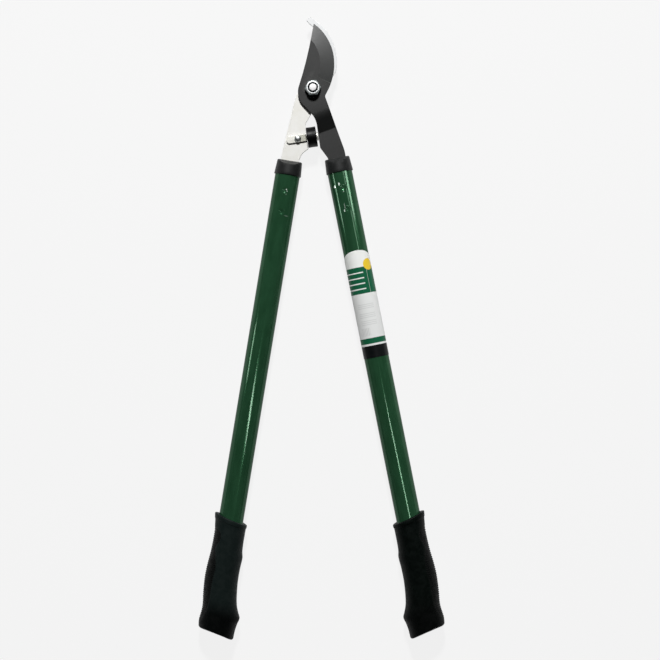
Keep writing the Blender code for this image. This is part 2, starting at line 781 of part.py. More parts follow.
def dents(reach, radius):
    """Balls where the staking dents are, front and back."""
    bm = bmesh.new()
    height = TUBE_RADIUS + DENT_RADIUS - DENT_DEPTH
    for row in range(2):
        for level in (-height, height):
            made = bmesh.ops.create_uvsphere(
                bm, u_segments=DENT_SEGMENTS, v_segments=DENT_SEGMENTS // 2, radius=radius
            )
            place = (0, reach + DENT_START + DENT_PITCH * row, level)
            bmesh.ops.translate(bm, verts=made["verts"], vec=place)
    return bm


def make_tube(name, reach, paint, frame):
    start = reach + COLLAR_CAP + CLEARANCE
    end = start + TUBE_LENGTH
    outside = laid_along_handle(cylinder(TUBE_RADIUS, start, end, ROUND_SEGMENTS))
    tube = make_object(name, outside, paint, frame)
    inside = laid_along_handle(cylinder(tube_bore, start - 0.001, end + 0.001, ROUND_SEGMENTS))
    bore = make_object(name + "_bore", inside, None, frame)
    combine(bore, make_object(name + "_dent_backs", dents(reach, DENT_RADIUS + TUBE_WALL), None, frame), "DIFFERENCE")
    combine(tube, bore, "DIFFERENCE")
    combine(tube, make_object(name + "_dents", dents(reach, DENT_RADIUS), None, frame), "DIFFERENCE")
    return tube


def make_ferrule(name, reach, tang_thickness, plastic, frame):
    """The black collar, its cap and the plug inside the tube, one moulding with a slot for the tang."""
    skirt = TUBE_RADIUS + CLEARANCE
    foot = skirt + COLLAR_WALL
    bottom = COLLAR_LENGTH
    profile = [
        (0, 0),
        (COLLAR_TOP_RADIUS - COLLAR_ROUNDING, 0),
        (COLLAR_TOP_RADIUS - COLLAR_ROUNDING * 0.3, COLLAR_ROUNDING * 0.3),
        (COLLAR_TOP_RADIUS, COLLAR_ROUNDING),
        (foot, bottom - 0.0008),
        (foot - 0.0004, bottom),
        (skirt, bottom),
        (skirt, COLLAR_CAP),
        (plug_radius, COLLAR_CAP),
        (plug_radius, plug_length - 0.001),
        (plug_radius - 0.001, plug_length),
        (0, plug_length),
    ]
    shifted = [(radius, reach + level) for radius, level in profile]
    ferrule = make_object(name, laid_along_handle(turned(shifted, ROUND_SEGMENTS)), plastic, frame)
    half_width = TANG_WIDTH / 2 + CLEARANCE
    half_depth = tang_thickness / 2 + CLEARANCE
    low = reach - 0.002
    high = reach + plug_length + 0.002
    slot = plate([(-half_width, low), (half_width, low), (half_width, high), (-half_width, high)],
                 -half_depth, half_depth)
    combine(ferrule, make_object(name + "_slot", slot, None, frame), "DIFFERENCE")
    combine(ferrule, make_object(name + "_roof", roof_wedges(reach), None, frame), "DIFFERENCE")
    pockets = dents(reach, DENT_RADIUS + TUBE_WALL + CLEARANCE)
    combine(ferrule, make_object(name + "_pockets", pockets, None, frame), "DIFFERENCE")
    return ferrule


def roof_wedges(reach):
    """What is taken off so that the collar's top slopes like a roof to the tang, front and back."""
    bm = bmesh.new()
    slope = COLLAR_ROOF_DEPTH / (COLLAR_TOP_RADIUS - COLLAR_ROOF_FLAT)
    wide = 2 * COLLAR_TOP_RADIUS
    for way in (-1, 1):
        near = (COLLAR_ROOF_FLAT - 0.002, reach - 0.002 * slope)
        far = (COLLAR_TOP_RADIUS + 0.004, reach + slope * (COLLAR_TOP_RADIUS + 0.004 - COLLAR_ROOF_FLAT))
        section = [near, far, (far[0], reach - 0.003), (near[0], reach - 0.003)]
        verts = [bm.verts.new((-wide, level, way * height)) for height, level in section]
        face = bm.faces.new(verts)
        raised = bmesh.ops.extrude_face_region(bm, geom=[face])["geom"]
        moved = [item for item in raised if isinstance(item, bmesh.types.BMVert)]
        bmesh.ops.translate(bm, verts=moved, vec=(2 * wide, 0, 0))
    return bm


# Grips


def between(table, share, column):
    """A smooth value at a share of the length, from a table of (share, values...)."""
    for (low, *first), (high, *second) in zip(table, table[1:]):
        if share <= high:
            blend = max(0.0, (share - low) / (high - low))
            blend = blend * blend * (3 - 2 * blend)
            return first[column] + (second[column] - first[column]) * blend
    return table[-1][column + 1]


def grip_slant(share):
    """How much a section leans: with the oblique rim at the top and the oblique butt at the bottom."""
    if share < GRIP_SLANT_SHARE:
        return GRIP_RIM_SLANT * (1 - share / GRIP_SLANT_SHARE)
    return GRIP_BUTT_SLANT * butt_blend(share)


def butt_blend(share):
    return max(0.0, (share - 1) / GRIP_SLANT_SHARE + 1)


def grip_point(side, rim, level, angle, inset):
    """A point of the grip's skin, `level` below the rim's middle and `angle` round from the outer side."""
    share = level / GRIP_LENGTH
    outer = grip_bore + between(GRIP_SHAPE, share, 0) - inset
    inner = grip_bore + between(GRIP_SHAPE, share, 1) - inset
    deep = grip_bore + GRIP_DEPTH_WALL - inset
    across = (outer - inner) / 2 + (outer + inner) / 2 * math.cos(angle)
    up = deep * math.sin(angle)
    along = rim + level - grip_slant(share) * across
    along -= GRIP_BUTT_DOME * (butt_blend(share) * math.sin(angle)) ** 2
    return -side * across, along, up


def grip_rows():
    """Levels below the rim, each with its inset and whether the whole ring has points there."""
    rows = [
        (0.0, 0.0006, True),
        (0.0008, 0.0, True),
        (GRIP_FLANGE, 0.0, True),
        (GRIP_FLANGE + 0.0008, GRIP_FLANGE_STEP, True),
    ]
    count = int((RIB_END - RIB_START) / (RIB_PITCH / 2))
    for index in range(count + 1):
        valley = index % 2 == 1
        whole = index % 6 == 0 or index == count
        rows.append((RIB_START + index * RIB_PITCH / 2, RIB_DEPTH if valley else 0.0, whole))
    last = GRIP_LENGTH - GRIP_ROUNDING
    rows += [
        ((RIB_END + last) / 2, 0.0, True),
        (last, 0.0, True),
        (GRIP_LENGTH - GRIP_ROUNDING * 0.35, GRIP_ROUNDING * 0.3, True),
        (GRIP_LENGTH, GRIP_ROUNDING, True),
    ]
    return rows


def grip_angles(level):
    """Angles round the section: the ribbed zone on the outer side first, then the plain skin."""
    zone = math.radians(between(RIB_ZONE, level / GRIP_LENGTH, 0))
    ribbed = [-zone + 2 * zone * step / RIB_COLUMNS for step in range(RIB_COLUMNS + 1)]
    plain = [zone + (math.tau - 2 * zone) * step / PLAIN_COLUMNS for step in range(1, PLAIN_COLUMNS)]
    return ribbed + plain


def make_grip(name, side, rim, rubber, frame):
    """One skin from the rim down to the butt, ribbed on its outer side, and a bore for the tube."""
    bm = bmesh.new()
    rings = []
    for level, inset, whole in grip_rows():
        angles = grip_angles(level)
        in_ribs = RIB_START <= level <= RIB_END
        ring = []
        for index, angle in enumerate(angles):
            if index > RIB_COLUMNS and not whole:
                break
            border = index == 0 or index >= RIB_COLUMNS
            sunk = 0.0 if in_ribs and border else inset
            ring.append(bm.verts.new(grip_point(side, rim, level, angle, sunk)))
        rings.append((ring, whole))

    for (near, _), (far, _) in zip(rings, rings[1:]):
        for index in range(RIB_COLUMNS):
            bm.faces.new((near[index], near[index + 1], far[index + 1], far[index]))
    start = 0
    for end in range(1, len(rings)):
        if not rings[end][1]:
            continue
        near = rings[start][0]
        far = rings[end][0]
        count = len(near)
        passed = [ring for ring, _ in rings[start + 1:end]]
        for index in range(RIB_COLUMNS, count):
            after = (index + 1) % count
            loop = [near[index], near[after]]
            if after == 0:
                loop += [ring[0] for ring in passed]
            loop += [far[after], far[index]]
            if index == RIB_COLUMNS:
                loop += [ring[RIB_COLUMNS] for ring in reversed(passed)]
            bm.faces.new(loop)
        start = end

    rim_ring = rings[0][0]
    top = []
    bottom = []
    for angle in grip_angles(0.0):
        across = grip_bore * math.cos(angle)
        up = grip_bore * math.sin(angle)
        top.append(bm.verts.new((-side * across, rim - GRIP_RIM_SLANT * across, up)))
        bottom.append(bm.verts.new((-side * across, rim + GRIP_BORE_DEPTH, up)))
    count = len(rim_ring)
    for index in range(count):
        after = (index + 1) % count
        bm.faces.new((rim_ring[index], top[index], top[after], rim_ring[after]))
        bm.faces.new((top[index], bottom[index], bottom[after], top[after]))
    bm.faces.new(bottom)
    bm.faces.new(rings[-1][0])
    return make_object(name, bm, rubber, frame, smooth=True)


def make_label(reach, paper, frame):
    """The thin sleeve label, arched at its top, on the front half of the right tube."""
    columns = round(LABEL_HALF_ANGLE / (math.tau / ROUND_SEGMENTS)) * 2
    inner = TUBE_RADIUS + LABEL_GAP
    outer = inner + LABEL_THICKNESS
    half = inner * LABEL_HALF_ANGLE
    arch = (half * half + LABEL_ARCH * LABEL_ARCH) / (2 * LABEL_ARCH)
    start = reach + LABEL_DROP
    end = start + LABEL_LENGTH
    rings = []
    for column in range(columns + 1):
        angle = LABEL_HALF_ANGLE * (2 * column / columns - 1)
        round_way = inner * angle
        top = start + arch - math.sqrt(arch * arch - round_way * round_way)
        low = (inner * math.sin(angle), inner * math.cos(angle))
        high = (outer * math.sin(angle), outer * math.cos(angle))
        rings.append([
            (low[0], top, low[1]),
            (high[0], top, high[1]),
            (high[0], end, high[1]),
            (low[0], end, low[1]),
        ])
    return make_object("handle_label", lofted(rings), paper, frame, smooth=True)


def build():
    for old in list(bpy.data.objects):
        bpy.data.objects.remove(old, do_unlink=True)

    bright = make_material("bright_steel", (0.78, 0.77, 0.74), 0.35, 0.9)
    zinc = make_material("zinc_steel", (0.62, 0.63, 0.64), 0.28, 1.0)
    dark = make_material("coated_steel", (0.055, 0.058, 0.057), 0.45, 0.3)
    nylon = make_material("nylon", (0.02, 0.02, 0.022), 0.5)
    rubber = make_material("bumper_rubber", (0.012, 0.012, 0.013), 0.4)
    plastic = make_material("collar_plastic", (0.03, 0.032, 0.032), 0.5)
    grip = make_material("grip_vinyl", (0.012, 0.015, 0.014), 0.55)
    paint = make_material("green_paint", (0.014, 0.060, 0.028), 0.25)
    paper = make_material("label_paper", (0.80, 0.80, 0.78), 0.4)

    hook_side = make_empty("hook_side_frame", (0, 0, 0))
    blade_side = make_empty("blade_side_frame", (0, 0, 0))
    left_x, left_y = on_handle(LEFT, 0, 0)
    left = make_empty("left_handle_frame", (left_x, left_y, handle_level), math.pi - HANDLE_LEAN, hook_side)
    right_x, right_y = on_handle(RIGHT, 0, 0)
    right = make_empty("right_handle_frame", (right_x, right_y, handle_level), math.pi + HANDLE_LEAN, blade_side)

    make_hook(bright, hook_side)
    make_pivot(zinc, nylon, hook_side)
    make_bumper(zinc, rubber, hook_side)
    make_blade(dark, blade_side)

    sides = (
        ("left", LEFT, HOOK_REACH, HOOK_THICKNESS, LEFT_GRIP_GAP, left),
        ("right", RIGHT, BLADE_REACH, BLADE_THICKNESS, RIGHT_GRIP_GAP, right),
    )
    for name, side, reach, tang_thickness, gap, frame in sides:
        make_ferrule(name + "_ferrule", reach, tang_thickness, plastic, frame)
        make_tube(name + "_tube", reach, paint, frame)
        tube_end = reach + COLLAR_CAP + CLEARANCE + TUBE_LENGTH
        make_grip(name + "_grip", side, tube_end + gap - GRIP_BORE_DEPTH, grip, frame)
    make_label(BLADE_REACH, paper, right)


build()
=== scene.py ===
import math

import bmesh
import bpy
from mathutils import Matrix, Vector


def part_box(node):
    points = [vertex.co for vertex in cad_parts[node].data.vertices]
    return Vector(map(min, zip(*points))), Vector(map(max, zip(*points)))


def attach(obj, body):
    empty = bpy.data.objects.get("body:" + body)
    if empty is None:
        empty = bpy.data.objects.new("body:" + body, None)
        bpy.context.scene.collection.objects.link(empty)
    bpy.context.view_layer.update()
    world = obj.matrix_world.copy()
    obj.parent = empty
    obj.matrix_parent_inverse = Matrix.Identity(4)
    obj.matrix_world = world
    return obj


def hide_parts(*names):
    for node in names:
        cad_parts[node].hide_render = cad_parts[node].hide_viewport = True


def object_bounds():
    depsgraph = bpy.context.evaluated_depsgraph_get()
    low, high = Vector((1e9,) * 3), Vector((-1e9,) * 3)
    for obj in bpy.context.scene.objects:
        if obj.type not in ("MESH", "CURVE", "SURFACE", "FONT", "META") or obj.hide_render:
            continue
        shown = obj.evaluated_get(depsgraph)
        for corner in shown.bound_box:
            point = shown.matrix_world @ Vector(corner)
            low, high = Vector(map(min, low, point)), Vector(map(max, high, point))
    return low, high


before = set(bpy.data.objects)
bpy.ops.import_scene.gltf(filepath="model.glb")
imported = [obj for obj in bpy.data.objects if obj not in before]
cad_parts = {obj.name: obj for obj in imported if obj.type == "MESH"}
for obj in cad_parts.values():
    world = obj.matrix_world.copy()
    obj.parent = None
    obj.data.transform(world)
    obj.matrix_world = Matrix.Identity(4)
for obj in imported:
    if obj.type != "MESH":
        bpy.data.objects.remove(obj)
cadLow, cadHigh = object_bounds()

# levels of the stack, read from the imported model, in metres
hookBack, hookFront = (corner.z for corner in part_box("hook"))
nutBack, nutFront = (corner.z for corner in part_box("pivot_nut"))
washerBack, washerFront = (corner.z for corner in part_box("pivot_washer"))
bladeFront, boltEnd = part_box("blade")[1].z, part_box("pivot_bolt")[1].z
handleLevel = (hookBack + hookFront) / 2
fitGap = 0.0003  # play between pieces that touch
past = 0.001  # how far a cutting tool passes the face it cuts
onAxis = 1e-7  # a radius below this is a point on the axis

# shapes in plan and in section


def roundedOutline(corners, facet=4.0):
    # (x, y, radius) corners; a radius of 0 keeps the point as it is
    points = []
    for index, (x, y, radius) in enumerate(corners):
        here = Vector((x, y))
        if radius <= 0:
            points.append(here)
            continue
        back = Vector(corners[index - 1][:2]) - here
        ahead = Vector(corners[(index + 1) % len(corners)][:2]) - here
        room = 0.48 * min(back.length, ahead.length)
        back.normalize()
        ahead.normalize()
        half = back.angle(ahead) / 2
        setback = min(radius / math.tan(half), room)
        centre = here + (back + ahead).normalized() * (setback / math.cos(half))
        start = here + back * setback - centre
        end = here + ahead * setback - centre
        sweep = math.pi - 2 * half
        if start.x * end.y - start.y * end.x < 0:
            sweep = -sweep
        steps = max(2, math.ceil(abs(sweep) / math.radians(facet)))
        for step in range(steps + 1):
            points.append(centre + Matrix.Rotation(sweep * step / steps, 2) @ start)
    return points


def bellyRadius(belly, end):
    reach, rise = belly[0] - end[0], end[1] - belly[1]
    return (reach * reach + rise * rise) / (2 * reach)


def onBellyArc(belly, end, y):
    radius = bellyRadius(belly, end)
    return belly[0] - radius + math.sqrt(radius * radius - (y - belly[1]) ** 2), y


def bellyArc(belly, end, steps):
    # points from the end to the belly, on the arc that stands upright at the belly
    radius = bellyRadius(belly, end)
    centreX = belly[0] - radius
    last = math.atan2(end[1] - belly[1], end[0] - centreX)
    angles = [last * (1 - step / steps) for step in range(steps + 1)]
    return [(centreX + radius * math.cos(a), belly[1] + radius * math.sin(a)) for a in angles]


def catmull(table, share, column):
    # a smooth curve through the rows of a (share, values...) table
    for index in range(len(table) - 1):
        if share <= table[index + 1][0] or index == len(table) - 2:
            break
    low, high = table[index], table[index + 1]
    before, after = table[max(index - 1, 0)], table[min(index + 2, len(table) - 1)]
    width = high[0] - low[0]
    t = min(1.0, max(0.0, (share - low[0]) / width))
    startSlope = (high[column] - before[column]) / max(high[0] - before[0], 1e-9) * width
    endSlope = (after[column] - low[column]) / max(after[0] - low[0], 1e-9) * width
    return (
        low[column] * (2 * t**3 - 3 * t**2 + 1)
        + startSlope * (t**3 - 2 * t**2 + t)
        + high[column] * (3 * t**2 - 2 * t**3)
        + endSlope * (t**3 - t**2)
    )


def smoothStep(low, high, value):
    t = min(1.0, max(0.0, (value - low) / (high - low)))
    return t * t * (3 - 2 * t)


def polar(radius, angle):
    return radius * math.cos(angle), radius * math.sin(angle)


def aroundHandle(radius, angle, along):
    # a point round a handle's middle line; angle 0 is the front
    return radius * math.sin(angle), along, radius * math.cos(angle)


def roundTurn(segments):
    return [math.tau * step / segments for step in range(segments)]


def swept(degrees, steps):
    # even angles from 0, in radians
    return [math.radians(degrees) * step / steps for step in range(steps + 1)]


def rectangle(left, low, right, high):
    return [(left, low), (right, low), (right, high), (left, high)]


# mesh makers


def lofted(rings, closedLoop=False):
    # skins equal rings of points in order, then caps the two ends or joins them
    bm = bmesh.new()
    rows = [[bm.verts.new(point) for point in ring] for ring in rings]
    for near, far in zip(rows, rows[1:] + rows[:1] if closedLoop else rows[1:]):
        for corners in zip(near, near[1:] + near[:1], far[1:] + far[:1], far):
            bm.faces.new(corners)
    if not closedLoop:
        bm.faces.new(rows[0])
        bm.faces.new(rows[-1])
    return bm


def turned(profile, segments=96):
    # a closed (radius, level) profile swept round; points on the axis close the ends
    bm = bmesh.new()
    rows = []
    for radius, level in profile:
        places = [(0, 0)] if radius < onAxis else [polar(radius, angle) for angle in roundTurn(segments)]
        rows.append([bm.verts.new((x, y, level)) for x, y in places])
    pairs = list(zip(rows, rows[1:]))
    if len(rows[0]) > 1 or len(rows[-1]) > 1:
        pairs.append((rows[-1], rows[0]))
    for near, far in pairs:
        for index in range(segments):
            after = (index + 1) % segments
            loop = [near[index % len(near)], near[after % len(near)]]
            loop += [far[after % len(far)], far[index % len(far)]]
            loop = list(dict.fromkeys(loop))
            if len(loop) > 2:
                bm.faces.new(loop)
    return bm


def drill(radius, low, high, segments=96):
    return turned(rectangle(0, low - past, radius, high + past), segments)


def filleted(profile, radius, steps=4):
    # rounds a profile's corners
    done = []
    for index, corner in enumerate(profile):
        here = Vector(corner)
        back = Vector(profile[index - 1]) - here
        ahead = Vector(profile[(index + 1) % len(profile)]) - here
        setback = min(radius, 0.4 * back.length, 0.4 * ahead.length)
        back.normalize()
        ahead.normalize()
        start, end = here + back * setback, here + ahead * setback
        for step in range(steps + 1):
            t = step / steps
            done.append(tuple(start * (1 - t) ** 2 + here * (2 * t * (1 - t)) + end * t * t))
    return done


def insetOutline(outline, amount):
    # moves every point inwards along its own normal
    area = sum(a.x * b.y - b.x * a.y for a, b in zip(outline, outline[1:] + outline[:1]))
    way = 1 if area > 0 else -1
    moved = []
    for index, here in enumerate(outline):
        back = (here - outline[index - 1]).normalized()
        ahead = (outline[(index + 1) % len(outline)] - here).normalized()
        normal = Vector((-(back.y + ahead.y), back.x + ahead.x)) * way
        normal.normalize()
        side = Vector((-ahead.y, ahead.x)) * way
        moved.append(here + normal * (amount / max(0.5, normal.dot(side))))
    return moved


def roundedPlate(outline, back, front, edge=0.00001, steps=3):
    # a flat plate whose front and back edges are softened
    outline = [Vector(point[:2]) for point in outline]
    turns = swept(90, steps)
    rows = [(edge * (1 - math.sin(turn)), back + edge * (1 - math.cos(turn))) for turn in turns]
    rows += [(edge * (1 - math.cos(turn)), front - edge * (1 - math.sin(turn))) for turn in turns]
    return lofted([[(*point, level) for point in insetOutline(outline, inset)] for inset, level in rows])


def shaded(mesh, sharp):
    mesh.shade_smooth()
    mesh.set_sharp_from_angle(angle=math.radians(sharp))


def shown(name, bm, material, matrix=Matrix(), sharp=35):
    bmesh.ops.recalc_face_normals(bm, faces=bm.faces)
    mesh = bpy.data.meshes.new(name)
    bm.to_mesh(mesh)
    bm.free()
    piece = bpy.data.objects.new(name, mesh)
    bpy.context.scene.collection.objects.link(piece)
    piece.matrix_world = matrix
    if material is not None:
        mesh.materials.append(material)
    shaded(mesh, sharp)
    return piece


def modified(piece, name, kind, **settings):
    modifier = piece.modifiers.new(name, kind)
    for key, value in settings.items():
        setattr(modifier, key, value)
    return piece


def settled(piece, sharp=None):
    # the modifiers' result becomes the piece's own mesh
    bpy.context.view_layer.update()
    final = bpy.data.meshes.new_from_object(piece.evaluated_get(bpy.context.evaluated_depsgraph_get()))
    piece.modifiers.clear()
    piece.data = final
    if sharp is not None:
        shaded(final, sharp)


def cut(piece, *tools, operation="DIFFERENCE", sharp=35, leaves=None):
    # booleans with each tool in turn; where a tool leaves a finish, the cut faces take it
    transfer = {} if leaves is None else {"material_mode": "TRANSFER"}
    for index, bm in enumerate(tools):
        tool = shown(f"{piece.name}_tool{index}", bm, leaves, piece.matrix_world)
        modified(piece, "cut", "BOOLEAN", operation=operation, solver="EXACT", object=tool, **transfer)
        settled(piece)
        bpy.data.objects.remove(tool)
    shaded(piece.data, sharp)


def flatFaces(piece):
    # big flat faces keep their own normal beside softened edges
    return modified(piece, "flatFaces", "WEIGHTED_NORMAL", mode="FACE_AREA", weight=100, keep_sharp=True)


def softenEdges(piece, width):
    limit = {"limit_method": "ANGLE", "angle_limit": math.radians(40)}
    modified(piece, "weld", "WELD", merge_threshold=0.00002)
    modified(piece, "soften", "BEVEL", width=width, segments=2, miter_outer="MITER_ARC", **limit)
    settled(piece, 32)


def fitted(piece, node, body):
    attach(piece, body)
    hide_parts(node)
    return piece


# node helpers


class nodeBench:
    # a small bench for wiring a node tree: every call adds one node
    def __init__(self, tree, shader=None):
        self.tree = tree
        self.shader = shader

    def add(self, kind, **settings):
        node = self.tree.nodes.new(kind)
        column = len(self.tree.nodes)
        node.location = (180 * column, -60 * (column % 5))
        for key, value in settings.items():
            setattr(node, key, value)
        return node

    def put(self, socket, value):
        if isinstance(value, bpy.types.NodeSocket):
            self.tree.links.new(value, socket)
        else:
            socket.default_value = value

    def wired(self, kind, inputs, output=0, **settings):
        # fills a new node's inputs, in order or by name, and gives one of its outputs
        node = self.add(kind, **settings)
        for key, value in inputs.items() if isinstance(inputs, dict) else enumerate(inputs):
            self.put(node.inputs[key], value)
        return node.outputs[output]

    def math(self, operation, *values, clamp=False):
        return self.wired("ShaderNodeMath", values, operation=operation, use_clamp=clamp)

    def times(self, first, *others):
        for other in others:
            first = self.math("MULTIPLY", first, other)
        return first

    def vector(self, operation, *values):
        output = "Value" if operation in ("DOT_PRODUCT", "DISTANCE") else "Vector"
        return self.wired("ShaderNodeVectorMath", values, output, operation=operation)

    def noise(self, vector, scale, detail=3.0, rough=0.55):
        inputs = {"Vector": vector, "Scale": scale, "Detail": detail, "Roughness": rough}
        return self.wired("ShaderNodeTexNoise", inputs, "Fac")

    def ranged(self, value, low, high, first=0.0, last=1.0):
        inputs = {"Value": value, "From Min": low, "From Max": high, "To Min": first, "To Max": last}
        return self.wired("ShaderNodeMapRange", inputs, "Result", clamp=True, interpolation_type="SMOOTHSTEP")

    def clouds(self, scale, detail=3.0, span=(0.3, 0.7), give=(0.0, 1.0)):
        # patches of noise over the piece
        return self.ranged(self.noise(self.place(), scale, detail), *span, *give)

    def mixed(self, share, *inks):
        # the colour sockets of the node are its inputs 6 and 7 and its output 2
        first, second = (ink if isinstance(ink, bpy.types.NodeSocket) else (*ink, 1.0) for ink in inks)
        return self.wired("ShaderNodeMix", {"Factor": share, 6: first, 7: second}, 2, data_type="RGBA")

    def split(self, vector):
        node = self.add("ShaderNodeSeparateXYZ")
        self.put(node.inputs[0], vector)
        return node.outputs

    def bump(self, height, strength, distance):
        inputs = {"Height": height, "Strength": strength, "Distance": distance}
        return self.wired("ShaderNodeBump", inputs, "Normal")

    def place(self):
        return self.add("ShaderNodeTexCoord").outputs["Object"]

    def use(self, group, **values):
        return self.wired("ShaderNodeGroup", values, node_tree=group)

    def dress(self, colour, roughness, normal=None):
        # wires a finish into its shader
        for key, value in (("Base Color", colour), ("Roughness", roughness), ("Normal", normal)):
            if value is not None:
                self.put(self.shader[key], value)


def effectGroup(name, output, **inputs):
    # a node group with named inputs, each a number or a vector, and one named output
    tree = bpy.data.node_groups.new(name, "ShaderNodeTree")
    for label, default in inputs.items():
        kind = "Vector" if isinstance(default, tuple) else "Float"
        socket = tree.interface.new_socket(label, in_out="INPUT", socket_type="NodeSocket" + kind)
        socket.default_value = default
    tree.interface.new_socket(output, in_out="OUTPUT", socket_type="NodeSocketFloat")
    bench = nodeBench(tree)
    return tree, bench, bench.add("NodeGroupInput").outputs, bench.add("NodeGroupOutput").inputs[output]


def finish(name, colour, roughness, metallic=0.0, **settings):
    # a material and its bench; constants stay on the shader's own sockets
    material = bpy.data.materials.new(name)
    material.use_nodes = True
    shader = material.node_tree.nodes["Principled BSDF"].inputs
    settings |= {"Base Color": (*colour, 1.0), "Roughness": roughness, "Metallic": metallic}
    for key, value in settings.items():
        shader[key.replace("_", " ")].default_value = value
    return material, nodeBench(material.node_tree, shader)


# effects that several finishes share

# grain: noise pulled out along one way, for brushed and rolled metal
even = (1.0, 1.0, 1.0)
grainGroup, b, gIn, gOut = effectGroup("surfaceGrain", "Value", Stretch=even, Scale=400.0, Contrast=1.0)
stretched = b.vector("MULTIPLY", b.place(), gIn["Stretch"])
coarse = b.noise(stretched, gIn["Scale"], 4.0, 0.6)
fine = b.noise(stretched, b.times(gIn["Scale"], 3.7), 2.0)
both = b.math("ADD", b.times(coarse, 0.65), b.times(fine, 0.35))
spread = b.times(b.math("SUBTRACT", both, 0.5), gIn["Contrast"])
b.put(gOut, b.math("ADD", spread, 0.5, clamp=True))

# rubbed edges: corners that hands and use have polished, broken up by noise
rubGroup, b, gIn, gOut = effectGroup("rubbedEdges", "Mask", Start=0.55, End=0.70, Patches=60.0)
pointed = b.ranged(b.add("ShaderNodeNewGeometry").outputs["Pointiness"], gIn["Start"], gIn["End"])
b.put(gOut, b.times(pointed, b.clouds(gIn["Patches"], 4.0, (0.40, 0.62))))

# moulded skin: the fine pebbles that a textured mould leaves
skinGroup, b, gIn, gOut = effectGroup("mouldedSkin", "Height", Scale=900.0, Softness=0.5)
pebbles = {"Vector": b.place(), "Scale": gIn["Scale"], "Smoothness": gIn["Softness"]}
cells = b.wired("ShaderNodeTexVoronoi", pebbles, "Distance", feature="SMOOTH_F1")
swell = b.noise(b.place(), b.times(gIn["Scale"], 0.3), 2.0)
b.put(gOut, b.math("ADD", cells, b.times(swell, 0.6)))
print("effects made")

# finishes

stepWay = (0.336, -0.942, 0.0)  # square to the step across the blade's arm

# satin bright steel of the hook: rolled grain along the tool, faint warm mottling on the arm
hookSteel, b = finish("hookSteel", (0.78, 0.78, 0.76), 0.60, 0.22)
grain = b.use(grainGroup, Stretch=(1.0, 0.12, 1.0), Scale=900.0, Contrast=1.2)
mottle = b.clouds(70.0, 4.0, (0.35, 0.68))
arm = b.mixed(mottle, (0.880, 0.874, 0.842), (0.838, 0.828, 0.780))
jaw = b.mixed(mottle, (0.790, 0.800, 0.805), (0.770, 0.780, 0.785))
colour = b.mixed(b.ranged(b.split(b.place())["Y"], -0.005, 0.030), arm, jaw)
b.dress(colour, b.ranged(grain, 0.2, 0.8, 0.55, 0.66), b.bump(grain, 0.12, 0.0002))

# dark coat on the blade: satin, rubbed thin on its corners, pressed smooth down to the step
bladeCoat, b = finish("bladeCoat", (0.003, 0.0034, 0.0032), 0.47, 0.0, IOR=1.62)
grain = b.use(grainGroup, Scale=1500.0, Contrast=1.6)
rub = b.use(rubGroup, Start=0.53, End=0.62, Patches=90.0)
coat = b.mixed(b.clouds(45.0), (0.0022, 0.0026, 0.0024), (0.0040, 0.0045, 0.0042))
reach = b.vector("DOT_PRODUCT", b.place(), stepWay)
pressed = b.times(b.ranged(reach, 0.012, 0.036), b.ranged(reach, 0.0500, 0.0506, 1.0, 0.0))
satin = b.math("SUBTRACT", b.ranged(grain, 0.2, 0.8, 0.44, 0.52), b.times(pressed, 0.10))
b.dress(b.mixed(b.times(rub, 0.6), coat, (0.22, 0.22, 0.21)), satin, b.bump(grain, 0.18, 0.0002))

# the same coat over the ground bevel: rougher, with the grinder's strokes running out to the edge
groundCoat, b = finish("groundCoat", (0.006, 0.0075, 0.007), 0.52, 0.0, IOR=1.85)
stroke = b.use(grainGroup, Stretch=(0.25, 1.0, 1.0), Scale=1100.0, Contrast=1.8)
coat = b.mixed(b.clouds(60.0), (0.0050, 0.0068, 0.0060), (0.0085, 0.0100, 0.0092))
b.dress(coat, b.ranged(stroke, 0.2, 0.8, 0.48, 0.58), b.bump(stroke, 0.22, 0.0002))

# painted highlight: a paler coat on the run-out faces that tilt towards the tip and the lamp, standing for
# the line of light they catch where the grinding stops
runOutHighlight, b = finish("runOutHighlight", (0.030, 0.033, 0.031), 0.50, 0.0, IOR=1.62)
stroke = b.use(grainGroup, Stretch=(1.0, 0.3, 1.0), Scale=1300.0, Contrast=1.6)
thin = b.mixed(stroke, (0.035, 0.038, 0.036), (0.070, 0.074, 0.070))
b.dress(thin, b.ranged(stroke, 0.2, 0.8, 0.46, 0.58))

# bluish zinc plate on the nut, bolt and washer, kept dark as the shaded copy of the plate beside the
# painted-bright crown
zincPlate, b = finish("zincPlate", (0.78, 0.82, 0.82), 0.46, 1.0)
grain = b.use(grainGroup, Stretch=(1.0, 1.0, 0.3), Scale=1200.0, Contrast=1.0)
plate = b.mixed(b.clouds(160.0, 2.0, (0.35, 0.65)), (0.40, 0.47, 0.48), (0.52, 0.57, 0.57))
b.dress(plate, b.ranged(grain, 0.2, 0.8, 0.46, 0.58), b.bump(grain, 0.05, 0.0001))

# the same plate painted bright on the nut's crown: a painted reflection, the lit copy of the zinc plate
crownPaintedSheen, b = finish("crownPaintedSheen", (0.90, 0.92, 0.92), 0.52, 1.0)
plate = b.mixed(b.clouds(220.0, 2.0, (0.35, 0.65)), (0.88, 0.92, 0.92), (0.95, 0.96, 0.96))
b.dress(plate, b.clouds(1200.0, give=(0.46, 0.58)))

# the same plate, smoothed by the press, on the rivet that holds the bracket
rivetPlate, b = finish("rivetPlate", (0.62, 0.65, 0.65), 0.26, 1.0)
plate = b.mixed(b.clouds(260.0, 2.0, (0.35, 0.65)), (0.66, 0.70, 0.69), (0.80, 0.82, 0.80))
b.dress(plate, b.clouds(900.0, give=(0.33, 0.43)))

